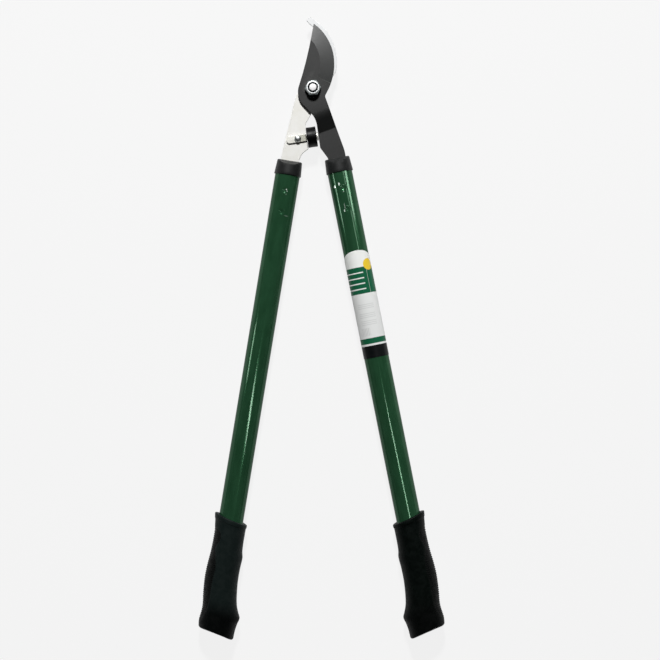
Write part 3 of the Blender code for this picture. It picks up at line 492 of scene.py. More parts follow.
# the bolt's end, cut off and plated over: paler and rougher
boltEndPlate, b = finish("boltEndPlate", (0.80, 0.80, 0.79), 0.62, 0.35)
grain = b.use(grainGroup, Scale=1600.0, Contrast=1.4)
plate = b.mixed(grain, (0.89, 0.89, 0.89), (0.95, 0.95, 0.95))
b.dress(plate, b.ranged(grain, 0.2, 0.8, 0.56, 0.68), b.bump(grain, 0.10, 0.0001))

# warmer plate on the bumper's bracket, with a painted reflection of the black rubber: darker between its
# rivet and the rubber
strapPlate, b = finish("strapPlate", (0.76, 0.75, 0.70), 0.50, 0.7)
grain = b.use(grainGroup, Stretch=(0.15, 1.0, 1.0), Scale=900.0, Contrast=1.2)
plate = b.mixed(b.clouds(120.0), (0.93, 0.92, 0.86), (0.83, 0.82, 0.76))
across = b.split(b.place())["X"]
# painted reflection: the black rubber's dark reflection laid on the plate near it
paintedRubberReflection = b.times(b.ranged(across, -0.0205, -0.0175), b.ranged(across, -0.0085, -0.0075, 1.0, 0.0), 0.7)
plate = b.mixed(paintedRubberReflection, plate, (0.40, 0.40, 0.32))
b.dress(plate, b.ranged(grain, 0.2, 0.8, 0.42, 0.56), b.bump(grain, 0.10, 0.0001))

# nylon ring in the lock nut
nutNylon, b = finish("nutNylon", (0.003, 0.005, 0.006), 0.60, Specular_IOR_Level=0.2)
b.dress(None, b.clouds(900.0, give=(0.54, 0.66)))

# rubber of the bumper
bumperRubber, b = finish("bumperRubber", (0.0009, 0.0009, 0.0010), 0.42, Specular_IOR_Level=0.17)
b.dress(None, b.clouds(300.0, 4.0, give=(0.38, 0.46)), b.bump(b.use(skinGroup, Scale=1400.0), 0.05, 0.0001))

# moulded plastic of the collars, rubbed paler on its corners
collarBlack = (0.0100, 0.0110, 0.0110)
collarPlastic, b = finish("collarPlastic", collarBlack, 0.50, Specular_IOR_Level=0.32)
rub = b.times(b.use(rubGroup, Start=0.53, End=0.66, Patches=120.0), 0.35)
skin = b.bump(b.use(skinGroup, Scale=1500.0), 0.20, 0.00015)
b.dress(b.mixed(rub, collarBlack, (0.05, 0.052, 0.05)), b.clouds(260.0, 4.0, give=(0.44, 0.58)), skin)


def makeVinyl(name, low, high):
    # textured vinyl of a grip: hazy between two tones, with painted shade: darker on its ribbed recess and
    # towards its butt, where the surface turns away from the light
    material, b = finish(name, high, 0.55, Specular_IOR_Level=0.12)
    haze = b.ranged(b.noise(b.place(), 180.0, 5.0, 0.7), 0.35, 0.68)
    ribbed = b.add("ShaderNodeAttribute", attribute_name="ribbed").outputs["Fac"]
    # painted shade on the ribbed recess and on the butt's falling end
    ribAndButtShade = b.math("MAXIMUM", ribbed, b.ranged(b.split(b.place())["Y"], 0.588, 0.612))
    colour = b.mixed(ribAndButtShade, b.mixed(haze, low, high), (0.0003, 0.0010, 0.0008))
    skin = b.use(skinGroup, Scale=1100.0, Softness=0.35)
    b.dress(colour, b.ranged(haze, 0.0, 1.0, 0.50, 0.66), b.bump(skin, 0.35, 0.00025))
    return material


# the left grip's vinyl is paler than the right's
gripVinyl = {
    "left": makeVinyl("paleVinyl", (0.0070, 0.0125, 0.0117), (0.0100, 0.0160, 0.0150)),
    "right": makeVinyl("gripVinyl", (0.0002, 0.0016, 0.0010), (0.0012, 0.0036, 0.0026)),
}

# painted glints at the staking dents, pale spots on the enamel: across and along the tube, half width, half
# length, share
paintedDentGlints = {
    "left": (
        (-0.0019, 0.1193, 0.0006, 0.0008, 0.8),
        (-0.0030, 0.1210, 0.0006, 0.0009, 0.5),
        (-0.0024, 0.1247, 0.0009, 0.0010, 0.10),
        (-0.0062, 0.1490, 0.0022, 0.0005, 0.15),
    ),
    "right": (
        (0.0038, 0.1133, 0.0010, 0.0017, 0.9),
        (0.0090, 0.1155, 0.0008, 0.0016, 1.0),
        (0.0004, 0.1230, 0.0007, 0.0007, 0.4),
        (0.0024, 0.1390, 0.0005, 0.0034, 0.25),
        (0.0034, 0.1440, 0.0006, 0.0018, 0.7),
    ),
}


def makeEnamel(name, glintSpots):
    # green enamel of a tube: faint orange peel under a thin hard gloss, with painted glints at the dents
    gloss = {"Specular_IOR_Level": 0.0, "Coat_Weight": 0.07, "Coat_Roughness": 0.07, "Coat_IOR": 2.6}
    material, b = finish(name, (0.018, 0.074, 0.034), 0.11, 0.30, **gloss)
    peel = b.noise(b.place(), 420.0, 3.0, 0.6)
    cloud = b.ranged(b.noise(b.vector("MULTIPLY", b.place(), (1.0, 0.35, 1.0)), 120.0, 4.0), 0.3, 0.7)
    paint = b.mixed(cloud, (0.0165, 0.064, 0.0285), (0.0220, 0.080, 0.0370))
    ragged = b.noise(b.place(), 1500.0, 2.0)
    # painted glints: pale spots at the dents' rims
    paintedGlint = 0.0
    for across, along, halfWide, halfLong, share in glintSpots:
        narrowed = b.vector("MULTIPLY", b.place(), (1 / halfWide, 1 / halfLong, 0.0))
        away = b.vector("DISTANCE", narrowed, (across / halfWide, along / halfLong, 0.0))
        spot = b.ranged(b.math("ADD", away, ragged), 1.2, 1.7, share, 0.0)
        paintedGlint = b.math("MAXIMUM", paintedGlint, spot)
    paintedGlint = b.times(paintedGlint, b.ranged(b.split(b.place())["Z"], 0.0, 0.001))  # on the front only
    paint = b.mixed(paintedGlint, paint, (0.84, 0.98, 0.88))
    b.dress(paint, b.ranged(peel, 0.3, 0.7, 0.09, 0.13), b.bump(peel, 0.06, 0.0002))
    return material


sides = ("left", "right")
tubeEnamel = {name: makeEnamel(name + "Enamel", paintedDentGlints[name]) for name in sides}
print("finishes made")

# handles: the frame that each handle's pieces share

handles = {
    "lean": 10.28,  # degrees from the middle line; offset and reach place each handle's top
    "left": {"side": -1, "offset": 0.0127, "reach": 0.0852, "body": "hook_side", "tang": 0.0045},
    "right": {"side": 1, "offset": 0.0115, "reach": 0.0827, "body": "blade_side", "tang": 0.0040},
}


def onHandle(name, along, across):
    lean = math.radians(handles["lean"])
    out = handles[name]["offset"] + across
    x = math.cos(lean) * out + math.sin(lean) * along
    y = math.sin(lean) * out - math.cos(lean) * along
    return handles[name]["side"] * x, y


def handleMatrix(name):
    turn = math.pi + handles[name]["side"] * math.radians(handles["lean"])
    return Matrix.Translation((*onHandle(name, 0, 0), handleLevel)) @ Matrix.Rotation(turn, 4, "Z")


tang = {"width": 0.0204, "length": 0.0740, "corner": 0.0040, "outerShoulder": 0.0071, "innerShoulder": 0.0020}


def tangCorners(name):
    half, reach = tang["width"] / 2, handles[name]["reach"]
    return [
        (*onHandle(name, reach - tang["outerShoulder"], half), 0.030),
        (*onHandle(name, reach + tang["length"], half), tang["corner"]),
        (*onHandle(name, reach + tang["length"], -half), tang["corner"]),
        (*onHandle(name, reach - tang["innerShoulder"], -half), 0.006),
    ]


# bumper's place between the arms

bumper = {
    "centre": (-0.0022, -0.0550),
    "lean": 7.5,  # degrees
    "length": 0.0110,
    "radius": 0.0117,
    "edge": 0.0011,
    "waist": 0.00025,  # how far the rubber's middle is drawn in
    "rivetRadius": 0.0025,
    "rivetHeadRadius": 0.0053,
    "rivetHead": 0.0016,
    "lugCorner": 0.0014,  # of the lugs that face the bumper
}
hookLug = -bumper["length"] / 2 - fitGap
bladeLug = bumper["length"] / 2 + bumper["rivetHead"] + 2 * fitGap


def byBumper(along, across):
    lean = math.radians(bumper["lean"])
    x, y = bumper["centre"]
    return (
        x + math.cos(lean) * along - math.sin(lean) * across,
        y + math.sin(lean) * along + math.cos(lean) * across,
    )


def alongBumper(bm):
    bm.transform(Matrix.Rotation(math.radians(90), 4, "Y"))
    bm.transform(Matrix.Rotation(math.radians(bumper["lean"]), 4, "Z"))
    bm.transform(Matrix.Translation((*bumper["centre"], handleLevel)))
    return bm


# hook

hook = {
    "belly": (0.0279, 0.0310),
    "nose": (-0.0024, 0.0822, 0.0030),
    "point": (-0.0062, 0.0784, 0.0016),
    "heelY": 0.0190,
    "heel": (0.0215, 0.0120, 0.004),
    "waist": (0.0120, -0.0105, 0.012),
    "crotch": (-0.0030, -0.0293, 0.015),
    "jawWidth": 0.0101,
    "innerTop": (-0.0028, 0.0742),
    "innerFootY": 0.0215,
    "throat": (0.0120, 0.0135, 0.0060),
    "bossRadius": 0.0156,
    "back": (-0.0194, -0.0070, 0.0015),
    "lugRise": 0.0033,
    "lugDrop": 0.0011,
    "lugBend": 0.0110,
    "fillet": (0.0105, 0.0022, 0.0130),  # above the collar, past the tang, radius
    "edge": 0.00035,  # softened edges
    "reliefWidth": 0.0040,
    "reliefDepth": 0.0028,
    "arcTop": (0.0030, -0.0022),  # where the outer arc starts, from the nose
    "heelInset": 0.0015,
    "innerRise": 0.0020,
    "innerFootInset": 0.0016,
}


def hookInnerEdge(steps):
    belly = (hook["belly"][0] - hook["jawWidth"], hook["belly"][1] + hook["innerRise"])
    foot = (belly[0] - hook["innerFootInset"], hook["innerFootY"])
    return bellyArc(belly, hook["innerTop"], steps) + bellyArc(belly, foot, 6)[::-1][1:]


def hookOutline():
    nose, belly = hook["nose"], hook["belly"]
    outer = bellyArc(belly, (nose[0] + hook["arcTop"][0], nose[1] + hook["arcTop"][1]), 36)
    outer += bellyArc(belly, (belly[0] - hook["heelInset"], hook["heelY"]), 5)[::-1][1:]
    rise, aside, bend = hook["fillet"]
    return roundedOutline([
        nose,
        *[(x, y, 0) for x, y in outer],
        hook["heel"],
        hook["waist"],
        hook["crotch"],
        (*byBumper(hookLug, bumper["radius"] + hook["lugRise"]), hook["lugBend"]),
        (*byBumper(hookLug, -bumper["radius"] - hook["lugDrop"]), bumper["lugCorner"]),
        (*onHandle("left", handles["left"]["reach"] - rise, -tang["width"] / 2 - aside), bend),
        *tangCorners("left")[::-1],
        hook["back"],
        *[(*polar(hook["bossRadius"], math.radians(degrees)), 0) for degrees in range(190, 66, -5)],
        hook["throat"],
        *[(x, y, 0) for x, y in hookInnerEdge(36)[::-1]],
        hook["point"],
    ])


def hookRelief():
    # the wedge ground off the back of the hook's inner edge, fading out at both ends
    edge = [Vector(point) for point in hookInnerEdge(30)]
    outside, margin = 0.002, 0.0001
    rings = []
    for index, point in enumerate(edge):
        ahead = (edge[min(index + 1, len(edge) - 1)] - edge[max(index - 1, 0)]).normalized()
        inward = Vector((-ahead.y, ahead.x))
        share = min(1.0, index / 5, (len(edge) - 1 - index) / 4)
        width = hook["reliefWidth"] * share + margin
        depth = hook["reliefDepth"] * share
        outer, inner = point - inward * outside, point + inward * width * 1.2
        rings.append([
            (*outer, hookBack + depth * (1 + outside / width) - margin),
            (*inner, hookBack - depth * 0.2 - margin),
            (*inner, hookBack - outside),
            (*outer, hookBack - outside),
        ])
    return lofted(rings)


strap = {
    "width": 0.0074,
    "thickness": 0.0018,
    "length": 0.0232,
    "corner": 0.0032,
    "bend": 0.0004,
    "drop": 0.0150,
    "rivetInset": 0.0128,
    "rivetRadius": 0.0020,
    "rivetHeadRadius": 0.0040,
    "rivetHead": 0.0024,
    "rivetTail": 0.0010,
}
strapFront = hookFront + fitGap + strap["thickness"]
strapEnd = hookLug - strap["length"]
rivetPlace = byBumper(strapEnd + strap["rivetInset"], 0)
pivotHole = 0.0053  # radius of the hole in both plates
seatEnd = hookLug + 0.002  # clear of the lug
deep, half = hookLug - strap["thickness"] - fitGap, strap["width"] / 2 + fitGap
seat = [byBumper(*corner) for corner in rectangle(deep, -half, seatEnd, half)]
hookPiece = shown("hookJaw", roundedPlate(hookOutline(), hookBack, hookFront, hook["edge"]), hookSteel)
seatTool = roundedPlate(seat, hookBack - past, hookFront + past)
cut(hookPiece, drill(pivotHole, hookBack, hookFront), seatTool, hookRelief())
fitted(flatFaces(hookPiece), "hook", "hook_side")
print("hook made")

# blade

blade = {
    "tip": (0.0022, 0.0742),
    "belly": (0.0248, 0.0295),
    "heel": (0.0181, -0.0003),
    "notch": (0.0135, -0.0089, 0.0045),
    "bossCorner": (-0.0199, -0.0089, 0.0208),
    "spine": [(-0.0109, 0.0180, 0.4), (-0.0034, 0.0460, 0.4)],
    "lugRise": 0.0083,
    "lugBend": 0.0250,
    "lugDrop": 0.0017,
    "edge": 0.0003,
    "bevelWidth": 0.0160,
    "bevelTop": (-0.0070, 0.0603),
    "bevelFoot": (0.0061, 0.0124),
    "bevelRunOut": 0.0021,
    # run-out faces tilted past this towards the tip get the painted highlight
    "runOutTilt": 0.12,  # least tilt of a run-out face's normal towards the tip
    "edgeFootY": 0.0064,
    "edgeThickness": 0.0006,
    "stepLean": 19.6,  # degrees
    "stepStart": 0.0264,
    "stepBend": 0.0100,
    "stepEnd": 0.0503,
}
bladeThickness = handles["right"]["tang"]
bladeBack = bladeFront - bladeThickness
stepDrop = (bladeBack + bladeFront) / 2 - handleLevel


def bladeOutline():
    edge = bellyArc(blade["belly"], blade["tip"], 40)
    edge += bellyArc(blade["belly"], blade["heel"], 20)[::-1][1:]
    return roundedOutline([
        *[(x, y, 0) for x, y in edge],
        blade["notch"],
        *tangCorners("right"),
        (*byBumper(bladeLug, -bumper["radius"] - blade["lugDrop"]), bumper["lugCorner"]),
        (*byBumper(bladeLug, bumper["radius"] + blade["lugRise"]), blade["lugBend"]),
        blade["bossCorner"],
        *blade["spine"],
    ])


def stepped(bm):
    # cuts the arm across at its bend lines and lets it down to the tang's level
    lean = math.radians(blade["stepLean"])
    along = Vector((math.sin(lean), -math.cos(lean), 0))
    start, bend, end = blade["stepStart"], blade["stepBend"], blade["stepEnd"]
    slope = stepDrop / (end - start - bend / 2)
    crease = 0.0006  # the lower bend is crisp
    lines = [start + bend * step / 12 for step in range(13)]
    lines += [end - crease, end - crease / 2, end, end + crease / 2, end + crease]
    for line in lines:
        everything = list(bm.verts) + list(bm.edges) + list(bm.faces)
        bmesh.ops.bisect_plane(bm, geom=everything, plane_co=along * line, plane_no=along, dist=1e-7)
    for vert in bm.verts:
        away = vert.co.dot(along)
        fall = 0.0
        if away > start + bend:
            fall = slope * (away - start - bend / 2)
        elif away > start:
            fall = slope * (away - start) ** 2 / (2 * bend)
        if away >= end + crease:
            fall = stepDrop
        elif away > end - crease:
            run = away - end + crease
            fall = stepDrop - slope * crease + slope * run - slope * run * run / (4 * crease)
        vert.co.z -= min(stepDrop, fall)
    return bm


def bevelSection(inner, edge, runOut=False):
    # a section of the wedge, which passes the ground face on both sides; depth 0 where it runs out
    inner, edge = Vector(inner), Vector(edge)
    across = edge - inner
    behind, beyond = 0.08, 0.15  # shares of the face's width
    start, end = inner - across * behind, edge + across * beyond
    depth = 0.0 if runOut else bladeThickness - blade["edgeThickness"]
    margin = 0.0001 if runOut else 0.0
    top = bladeFront + 0.003
    return [
        (*start, bladeFront + depth * behind + margin),
        (*end, bladeFront - depth * (1 + beyond) + margin),
        (*end, top),
        (*start, top),
    ]


def bladeBevel():
    # the wedge ground off the blade's front, along the whole cutting edge
    belly = blade["belly"]
    innerBelly = (belly[0] - blade["bevelWidth"], belly[1])
    beyondTip = onBellyArc(belly, blade["tip"], blade["tip"][1] + 0.003)
    foot = onBellyArc(belly, blade["heel"], blade["edgeFootY"])
    edge = bellyArc(belly, beyondTip, 30) + bellyArc(belly, foot, 14)[::-1][1:]
    border = bellyArc(innerBelly, blade["bevelTop"], 30)
    border += bellyArc(innerBelly, blade["bevelFoot"], 14)[::-1][1:]
    rings = [bevelSection(inner, outer) for inner, outer in zip(border, edge)]
    run = (Vector(edge[-1]) - Vector(border[-1])).normalized()
    drop = Vector((run.y, -run.x)) * blade["bevelRunOut"]
    rings.append(bevelSection(Vector(border[-1]) + drop, Vector(edge[-1]) + drop, True))
    return lofted(rings)


bladeMesh = stepped(roundedPlate(bladeOutline(), bladeBack, bladeFront, blade["edge"]))
bladePiece = shown("bladeJaw", bladeMesh, bladeCoat)
cut(bladePiece, drill(pivotHole, bladeBack, bladeFront))
cut(bladePiece, bladeBevel(), sharp=9, leaves=groundCoat)
bladePiece.data.materials.append(runOutHighlight)
finishes = bladePiece.data.materials
groundSlot = finishes.find(groundCoat.name)
groundFaces = [face for face in bladePiece.data.polygons if face.material_index == groundSlot]
groundEdges = {key for face in groundFaces for key in face.edge_keys}
for line in bladePiece.data.edges:
    if line.key in groundEdges:
        line.use_edge_sharp = True
# painted highlight: the run-out faces that face the lamp take the paler finish
for face in groundFaces:
    if face.normal.y > blade["runOutTilt"] and face.center.y < blade["bevelFoot"][1]:
        face.material_index = len(finishes) - 1
fitted(flatFaces(bladePiece), "blade", "blade_side")
print("blade made")

# pivot: bolt, washer, lock nut and its nylon ring

pivot = {
    "boltRadius": 0.0050,
    "acrossFlats": 0.0160,
    "headHeight": 0.0064,
    "washerRadius": 0.0105,
    "pointRadius": 0.0040,  # the bolt's plain end, past its thread
    "crownHeight": 0.0026,
    "crownRadius": 0.0074,
    "crownRounding": 0.0006,
    "mouthRadius": 0.0057,
    "insertRadius": 0.0063,
    "insertBore": 0.0047,
    "insertHeight": 0.0012,
    "insertDepth": 0.0013,
    "turn": 5,  # degrees
    "drumFace": 0.485,  # the turned-down head's face, of the flats
    "threadEnd": 0.0030,  # below the nut's top
}


def hexagon(low, high):
    radius = pivot["acrossFlats"] / math.sqrt(3)
    corners = [(*polar(radius, math.radians(60 * corner)), 0.0002) for corner in range(6)]
    return roundedPlate(roundedOutline(corners, 20), low, high)


def cornerDrum(base, top, face, slant):
    # what a hexagon's corners are turned down to, from the face's radius at its top end
    corner = pivot["acrossFlats"] / math.sqrt(3) + fitGap
    fall = (corner - face) * math.tan(math.radians(slant)) * (1 if top > base else -1)
    return turned([(0, base), (corner, base), (corner, top - fall), (face, top), (0, top)], 144)


headTop, boltRadius, pointRadius = pivot["headHeight"], pivot["boltRadius"], pivot["pointRadius"]
threadEnd = nutFront - pivot["threadEnd"]
shank = [
    (0, headTop - 0.0005),
    (boltRadius, headTop - 0.0005),
    (boltRadius, threadEnd - 0.0006),
    (pointRadius, threadEnd),
    (pointRadius, boltEnd - 0.0003),
    (pointRadius - 0.0001, boltEnd - 0.0001),
    (pointRadius - 0.0004, boltEnd),
    (0, boltEnd),
]
boltPiece = shown("pivotBolt", hexagon(0, headTop), zincPlate)
headDrum = cornerDrum(headTop, 0, pivot["acrossFlats"] * pivot["drumFace"], 30)
cut(boltPiece, headDrum, operation="INTERSECT")
cut(boltPiece, turned(shank), operation="UNION")
boltPiece.data.materials.append(boltEndPlate)
for face in boltPiece.data.polygons:
    if face.center.z > boltEnd - 0.00025:
        face.material_index = 1
fitted(flatFaces(boltPiece), "pivot_bolt", "hook_side")

rim = boltRadius + fitGap
washer = filleted(rectangle(rim, washerBack, pivot["washerRadius"], washerFront), 0.0003)
fitted(shown("pivotWasher", turned(washer), zincPlate), "pivot_washer", "hook_side")

hexTop = nutFront - pivot["crownHeight"]
crownRadius, mouth = pivot["crownRadius"], pivot["mouthRadius"]
turnNut = Matrix.Rotation(math.radians(pivot["turn"]), 4, "Z")
nutPiece = shown("pivotNut", hexagon(nutBack, hexTop), zincPlate, turnNut)
cut(nutPiece, cornerDrum(nutBack, hexTop, crownRadius + 0.0001, 42), operation="INTERSECT")
crown = [(crownRadius, hexTop - past), (crownRadius, nutFront), (mouth - 0.001, nutFront)]
crown = [(0, hexTop - past), *filleted(crown, pivot["crownRounding"], 6), (0, nutFront)]
# painted reflection: the crown takes the bright copy of the plate
cut(nutPiece, turned(crown), operation="UNION", leaves=crownPaintedSheen)
pocket = pivot["insertRadius"] + fitGap
pocketTop = nutFront - pivot["insertDepth"]
pocketLow = pocketTop - pivot["insertHeight"] - 2 * fitGap
bore = [
    (0, nutBack - past),
    (rim, nutBack - past),
    (rim, pocketLow),
    (pocket, pocketLow),
    (pocket, pocketTop),
    (mouth, pocketTop),
    (mouth, nutFront - 0.0003),
    (mouth + 0.0005, nutFront + 0.0002),
    (0, nutFront + 0.0002),
]
cut(nutPiece, turned(bore))
fitted(flatFaces(nutPiece), "pivot_nut", "hook_side")

ringLow = pocketLow + fitGap
ring = rectangle(pivot["insertBore"], ringLow, pivot["insertRadius"], ringLow + pivot["insertHeight"])
fitted(shown("nutInsert", turned(filleted(ring, 0.0002)), nutNylon), "nut_insert", "hook_side")
print("pivot made")

# bumper, its bracket and rivets

length, radius, pinRadius = bumper["length"], bumper["radius"], bumper["rivetRadius"]
hole = pinRadius + fitGap
tyre = [
    (hole, -length / 2),
    (radius, -length / 2),
    (radius - bumper["waist"], 0),
    (radius, length / 2),
    (hole, length / 2),
]
tyreMesh = alongBumper(turned(filleted(tyre, bumper["edge"], 6), 128))
fitted(shown("bumperTyre", tyreMesh, bumperRubber), "bumper", "hook_side")

flangeBack, head = hookLug - strap["thickness"], length / 2 + fitGap
headRadius, headEnd = bumper["rivetHeadRadius"], head + bumper["rivetHead"]
pin = [
    (0, flangeBack),
    (pinRadius, flangeBack),
    (pinRadius, head),
    (headRadius, head),
    (headRadius * 0.97, head + bumper["rivetHead"] * 0.7),
    (headRadius * 0.6, headEnd),
    (0, headEnd),
]
fitted(shown("bumperRivet", alongBumper(turned(pin)), strapPlate), "bumper_rivet", "hook_side")


def bentStrap():
    # the strap's side view, bent down at the lug, drawn out across its width
    back, low, end = hookFront + fitGap, strapFront - strap["drop"], strapEnd - 0.002
    path = roundedOutline([
        (end, back, 0),
        (flangeBack, back, strap["bend"]),
        (flangeBack, low, 0),
        (hookLug, low, 0),
        (hookLug, strapFront, strap["bend"] + strap["thickness"]),
        (end, strapFront, 0),
    ], 8)
    wide = strap["width"] / 2 + past
    return lofted([[(*byBumper(along, side * wide), level) for along, level in path] for side in (-1, 1)])


wide = strap["width"] / 2
strapCorners = zip(rectangle(strapEnd, -wide, seatEnd, wide), (strap["corner"], 0, 0, strap["corner"]))
strapOutline = roundedOutline([(*byBumper(*corner), bend) for corner, bend in strapCorners])
strapPiece = shown("bumperBracket", bentStrap(), strapPlate)
strapTool = roundedPlate(strapOutline, strapFront - strap["drop"] - past, strapFront + past)
cut(strapPiece, strapTool, operation="INTERSECT")
cut(strapPiece, alongBumper(drill(hole, flangeBack, hookLug + past, 48)))
softenEdges(strapPiece, 0.0003)
fitted(flatFaces(strapPiece), "bumper_bracket", "hook_side")

seatLevel, tail = strapFront + fitGap, hookBack - fitGap
domeRadius, domeTop = strap["rivetHeadRadius"], seatLevel + strap["rivetHead"]
dome = [
    (0, tail - strap["rivetTail"]),
    (domeRadius * 0.8, tail - strap["rivetTail"]),
    (domeRadius, tail),
    (strap["rivetRadius"], tail),
    (strap["rivetRadius"], seatLevel),
]
for degrees in range(0, 90, 6):
    angle = math.radians(degrees)
    dome.append((domeRadius * math.cos(angle), seatLevel + strap["rivetHead"] * math.sin(angle)))
rivetMesh = turned([*dome, (0, domeTop)])
rivetMesh.transform(Matrix.Translation((*rivetPlace, 0)))
fitted(shown("bracketRivet", rivetMesh, rivetPlate), "bracket_rivet", "hook_side")
print("bumper made")

# tubes

tube = {
    "radius": 0.0142,
    "wall": 0.0010,
    "length": 0.5270,
    "start": 0.0062 + fitGap,  # below the collar's top
    "dentStart": 0.0355,
    "dentPitch": 0.0245,
    "dentReach": 0.0042,  # half width of a staking dent
    "dentDepth": 0.0010,
    "dentStep": 0.0006,  # between the rings round the dents
}


def dentDepthAt(along, angle):
    # how far the wall is pushed in at a place on the tube; angle 0 is the front
    deepest = 0.0
    for row in range(2):
        for turn in (0.0, math.pi):
            aside = abs((angle - turn + math.pi) % math.tau - math.pi) * tube["radius"]
            away = math.hypot(aside, along - tube["dentStart"] - tube["dentPitch"] * row)
            deepest = max(deepest, tube["dentDepth"] * (1 - smoothStep(0.0, tube["dentReach"], away)))
    return deepest


def makeTube(name):
    # a few rings at the collar, many round the dents, then one every 20 mm
    start, turns = tube["start"], roundTurn(96)
    levels = [start, start + 0.010, start + 0.018]
    while levels[-1] < tube["dentStart"] + tube["dentPitch"] + 0.007:
        levels.append(levels[-1] + tube["dentStep"])
    levels += [0.10 + 0.02 * step for step in range(21)] + [start + tube["length"]]
    reach = handles[name]["reach"]
    rings = []
    for skin, rows in ((0.0, levels), (tube["wall"], levels[::-1])):
        for level in rows:
            radii = [tube["radius"] - skin - dentDepthAt(level, angle) for angle in turns]
            rings.append([aroundHandle(r, angle, reach + level) for r, angle in zip(radii, turns)])
    mesh = lofted(rings, closedLoop=True)
    piece = shown(name + "HandleTube", mesh, tubeEnamel[name], handleMatrix(name))
    return fitted(piece, name + "_tube", handles[name]["body"])


tubePieces = [makeTube(name) for name in sides]
print("tubes made")

# collars

collar = {
    "length": 0.0170,
    "topRadius": 0.0143,
    "wall": 0.0009,
    "rounding": 0.0016,
    "foot": 0.0008,  # rounded end of the skirt
    "cap": 0.0062,
    "roofDepth": 0.0050,
    "roofFlat": 0.0042,
    "roofBlend": 0.0005,  # softens the line where the roof meets the wall
    "plugOverhang": 0.0030,
}
plugEnd = tang["length"] + collar["plugOverhang"]


def collarProfile():
    # over the cap and down the outside, then up inside the skirt and down the plug
    top, rounding, length = collar["topRadius"], collar["rounding"], collar["length"]
    skirt = tube["radius"] + fitGap
    foot = skirt + collar["wall"]
    plug = tube["radius"] - tube["wall"] - fitGap
    run = length - collar["foot"] - rounding
    outside = [(top * share, 0.0) for share in (0.12, 0.3, 0.45, 0.6, 0.72, 0.82)]
    for angle in swept(90, 6):
        outside.append((top - rounding + rounding * math.sin(angle), rounding - rounding * math.cos(angle)))
    outside += [(top + (foot - top) * share, rounding + run * share) for share in (0.2, 0.4, 0.6, 0.8, 1.0)]
    inside = [(foot - 0.0001, length - 0.0003), (foot - 0.0004, length), (skirt, length)]
    inside += [(skirt, collar["cap"]), (plug, collar["cap"])]
    inside += [(plug, plugEnd - 0.001), (plug - 0.001, plugEnd)]
    return outside, inside


def roofed(level, up):
    # the cap's top slopes down to the tang's front and back
    slope = collar["roofDepth"] / (collar["topRadius"] - collar["roofFlat"])
    roof = slope * (abs(up) - collar["roofFlat"])
    if roof <= -0.004:
        return level
    return 0.5 * (level + roof + math.sqrt((level - roof) ** 2 + collar["roofBlend"] ** 2))


def makeCollar(name):
    # one moulding: a skirt over the tube, a cap, and a plug in the tube
    reach = handles[name]["reach"]
    outside, inside = collarProfile()
    rings = []
    for index, (radius, level) in enumerate(outside + inside):
        ring = [aroundHandle(radius, angle, level) for angle in roundTurn(96)]
        if index < len(outside):
            ring = [(x, roofed(level, up), up) for x, level, up in ring]
        rings.append([(x, reach + along, up) for x, along, up in ring])
    piece = shown(name + "Collar", lofted(rings), collarPlastic, handleMatrix(name), 40)
    halfWide, halfDeep = tang["width"] / 2 + fitGap, handles[name]["tang"] / 2 + fitGap
    slot = rectangle(-halfWide, reach - 0.002, halfWide, reach + plugEnd + 0.002)
    cut(piece, roundedPlate(slot, -halfDeep, halfDeep))
    return fitted(piece, name + "_ferrule", handles[name]["body"])


for name in sides:
    makeCollar(name)
print("collars made")

# grips

grip = {
    "length": 0.1315,
    "boreDepth": 0.1210,
    "leftGap": 0.0019,
    "rightGap": 0.0064,
    "flange": 0.0050,
    "flangeStep": 0.0005,
    "depthWall": 0.0029,
    "rimSlant": 0.25,
    "buttSlant": 0.22,
    "rounding": 0.0024,
    "buttDome": 0.0025,
    "slantShare": 0.15,
    "ribPitch": 0.0024,
    "ribDepth": 0.0006,
    "ribStart": 0.0128,
    "ribEnd": 0.1192,
}
# share of the length, then the wall over the tube on the outer and on the inner side
gripShape = (
    (0.000, 0.0049, 0.0047),
    (0.060, 0.0037, 0.0044),
    (0.120, 0.0025, 0.0041),
    (0.180, 0.0022, 0.0038),
    (0.270, 0.0025, 0.0043),
    (0.320, 0.0029, 0.0055),
    (0.420, 0.0042, 0.0048),
    (0.520, 0.0048, 0.0047),
    (0.600, 0.0044, 0.0054),
    (0.690, 0.0034, 0.0068),
    (0.750, 0.0024, 0.0085),
    (0.800, 0.0021, 0.0111),
    (0.845, 0.0026, 0.0134),
    (0.890, 0.0032, 0.0116),
    (0.940, 0.0032, 0.0104),
    (1.000, 0.0024, 0.0100),
)
# share of the length, then the ribbed zone's half angle in degrees
ribZone = (
    (0.0, 25), (0.095, 32), (0.125, 57), (0.19, 60), (0.26, 45), (0.32, 52),
    (0.43, 66), (0.60, 61), (0.70, 57), (0.80, 46), (0.91, 30), (1.0, 20),
)
gripBore = tube["radius"] + fitGap


def gripPoint(side, rim, level, angle, inset):
    share = level / grip["length"]
    outer = gripBore + catmull(gripShape, share, 1) - inset
    inner = gripBore + catmull(gripShape, share, 2) - inset
    deepWall = gripBore + grip["depthWall"] - inset
    across = (outer - inner) / 2 + (outer + inner) / 2 * math.cos(angle)
    butt = max(0.0, (share - 1) / grip["slantShare"] + 1)
    slant = grip["rimSlant"] * max(0.0, 1 - share / grip["slantShare"]) + grip["buttSlant"] * butt
    along = rim + level - slant * across - grip["buttDome"] * (butt * math.sin(angle)) ** 2
    return -side * across, along, deepWall * math.sin(angle)


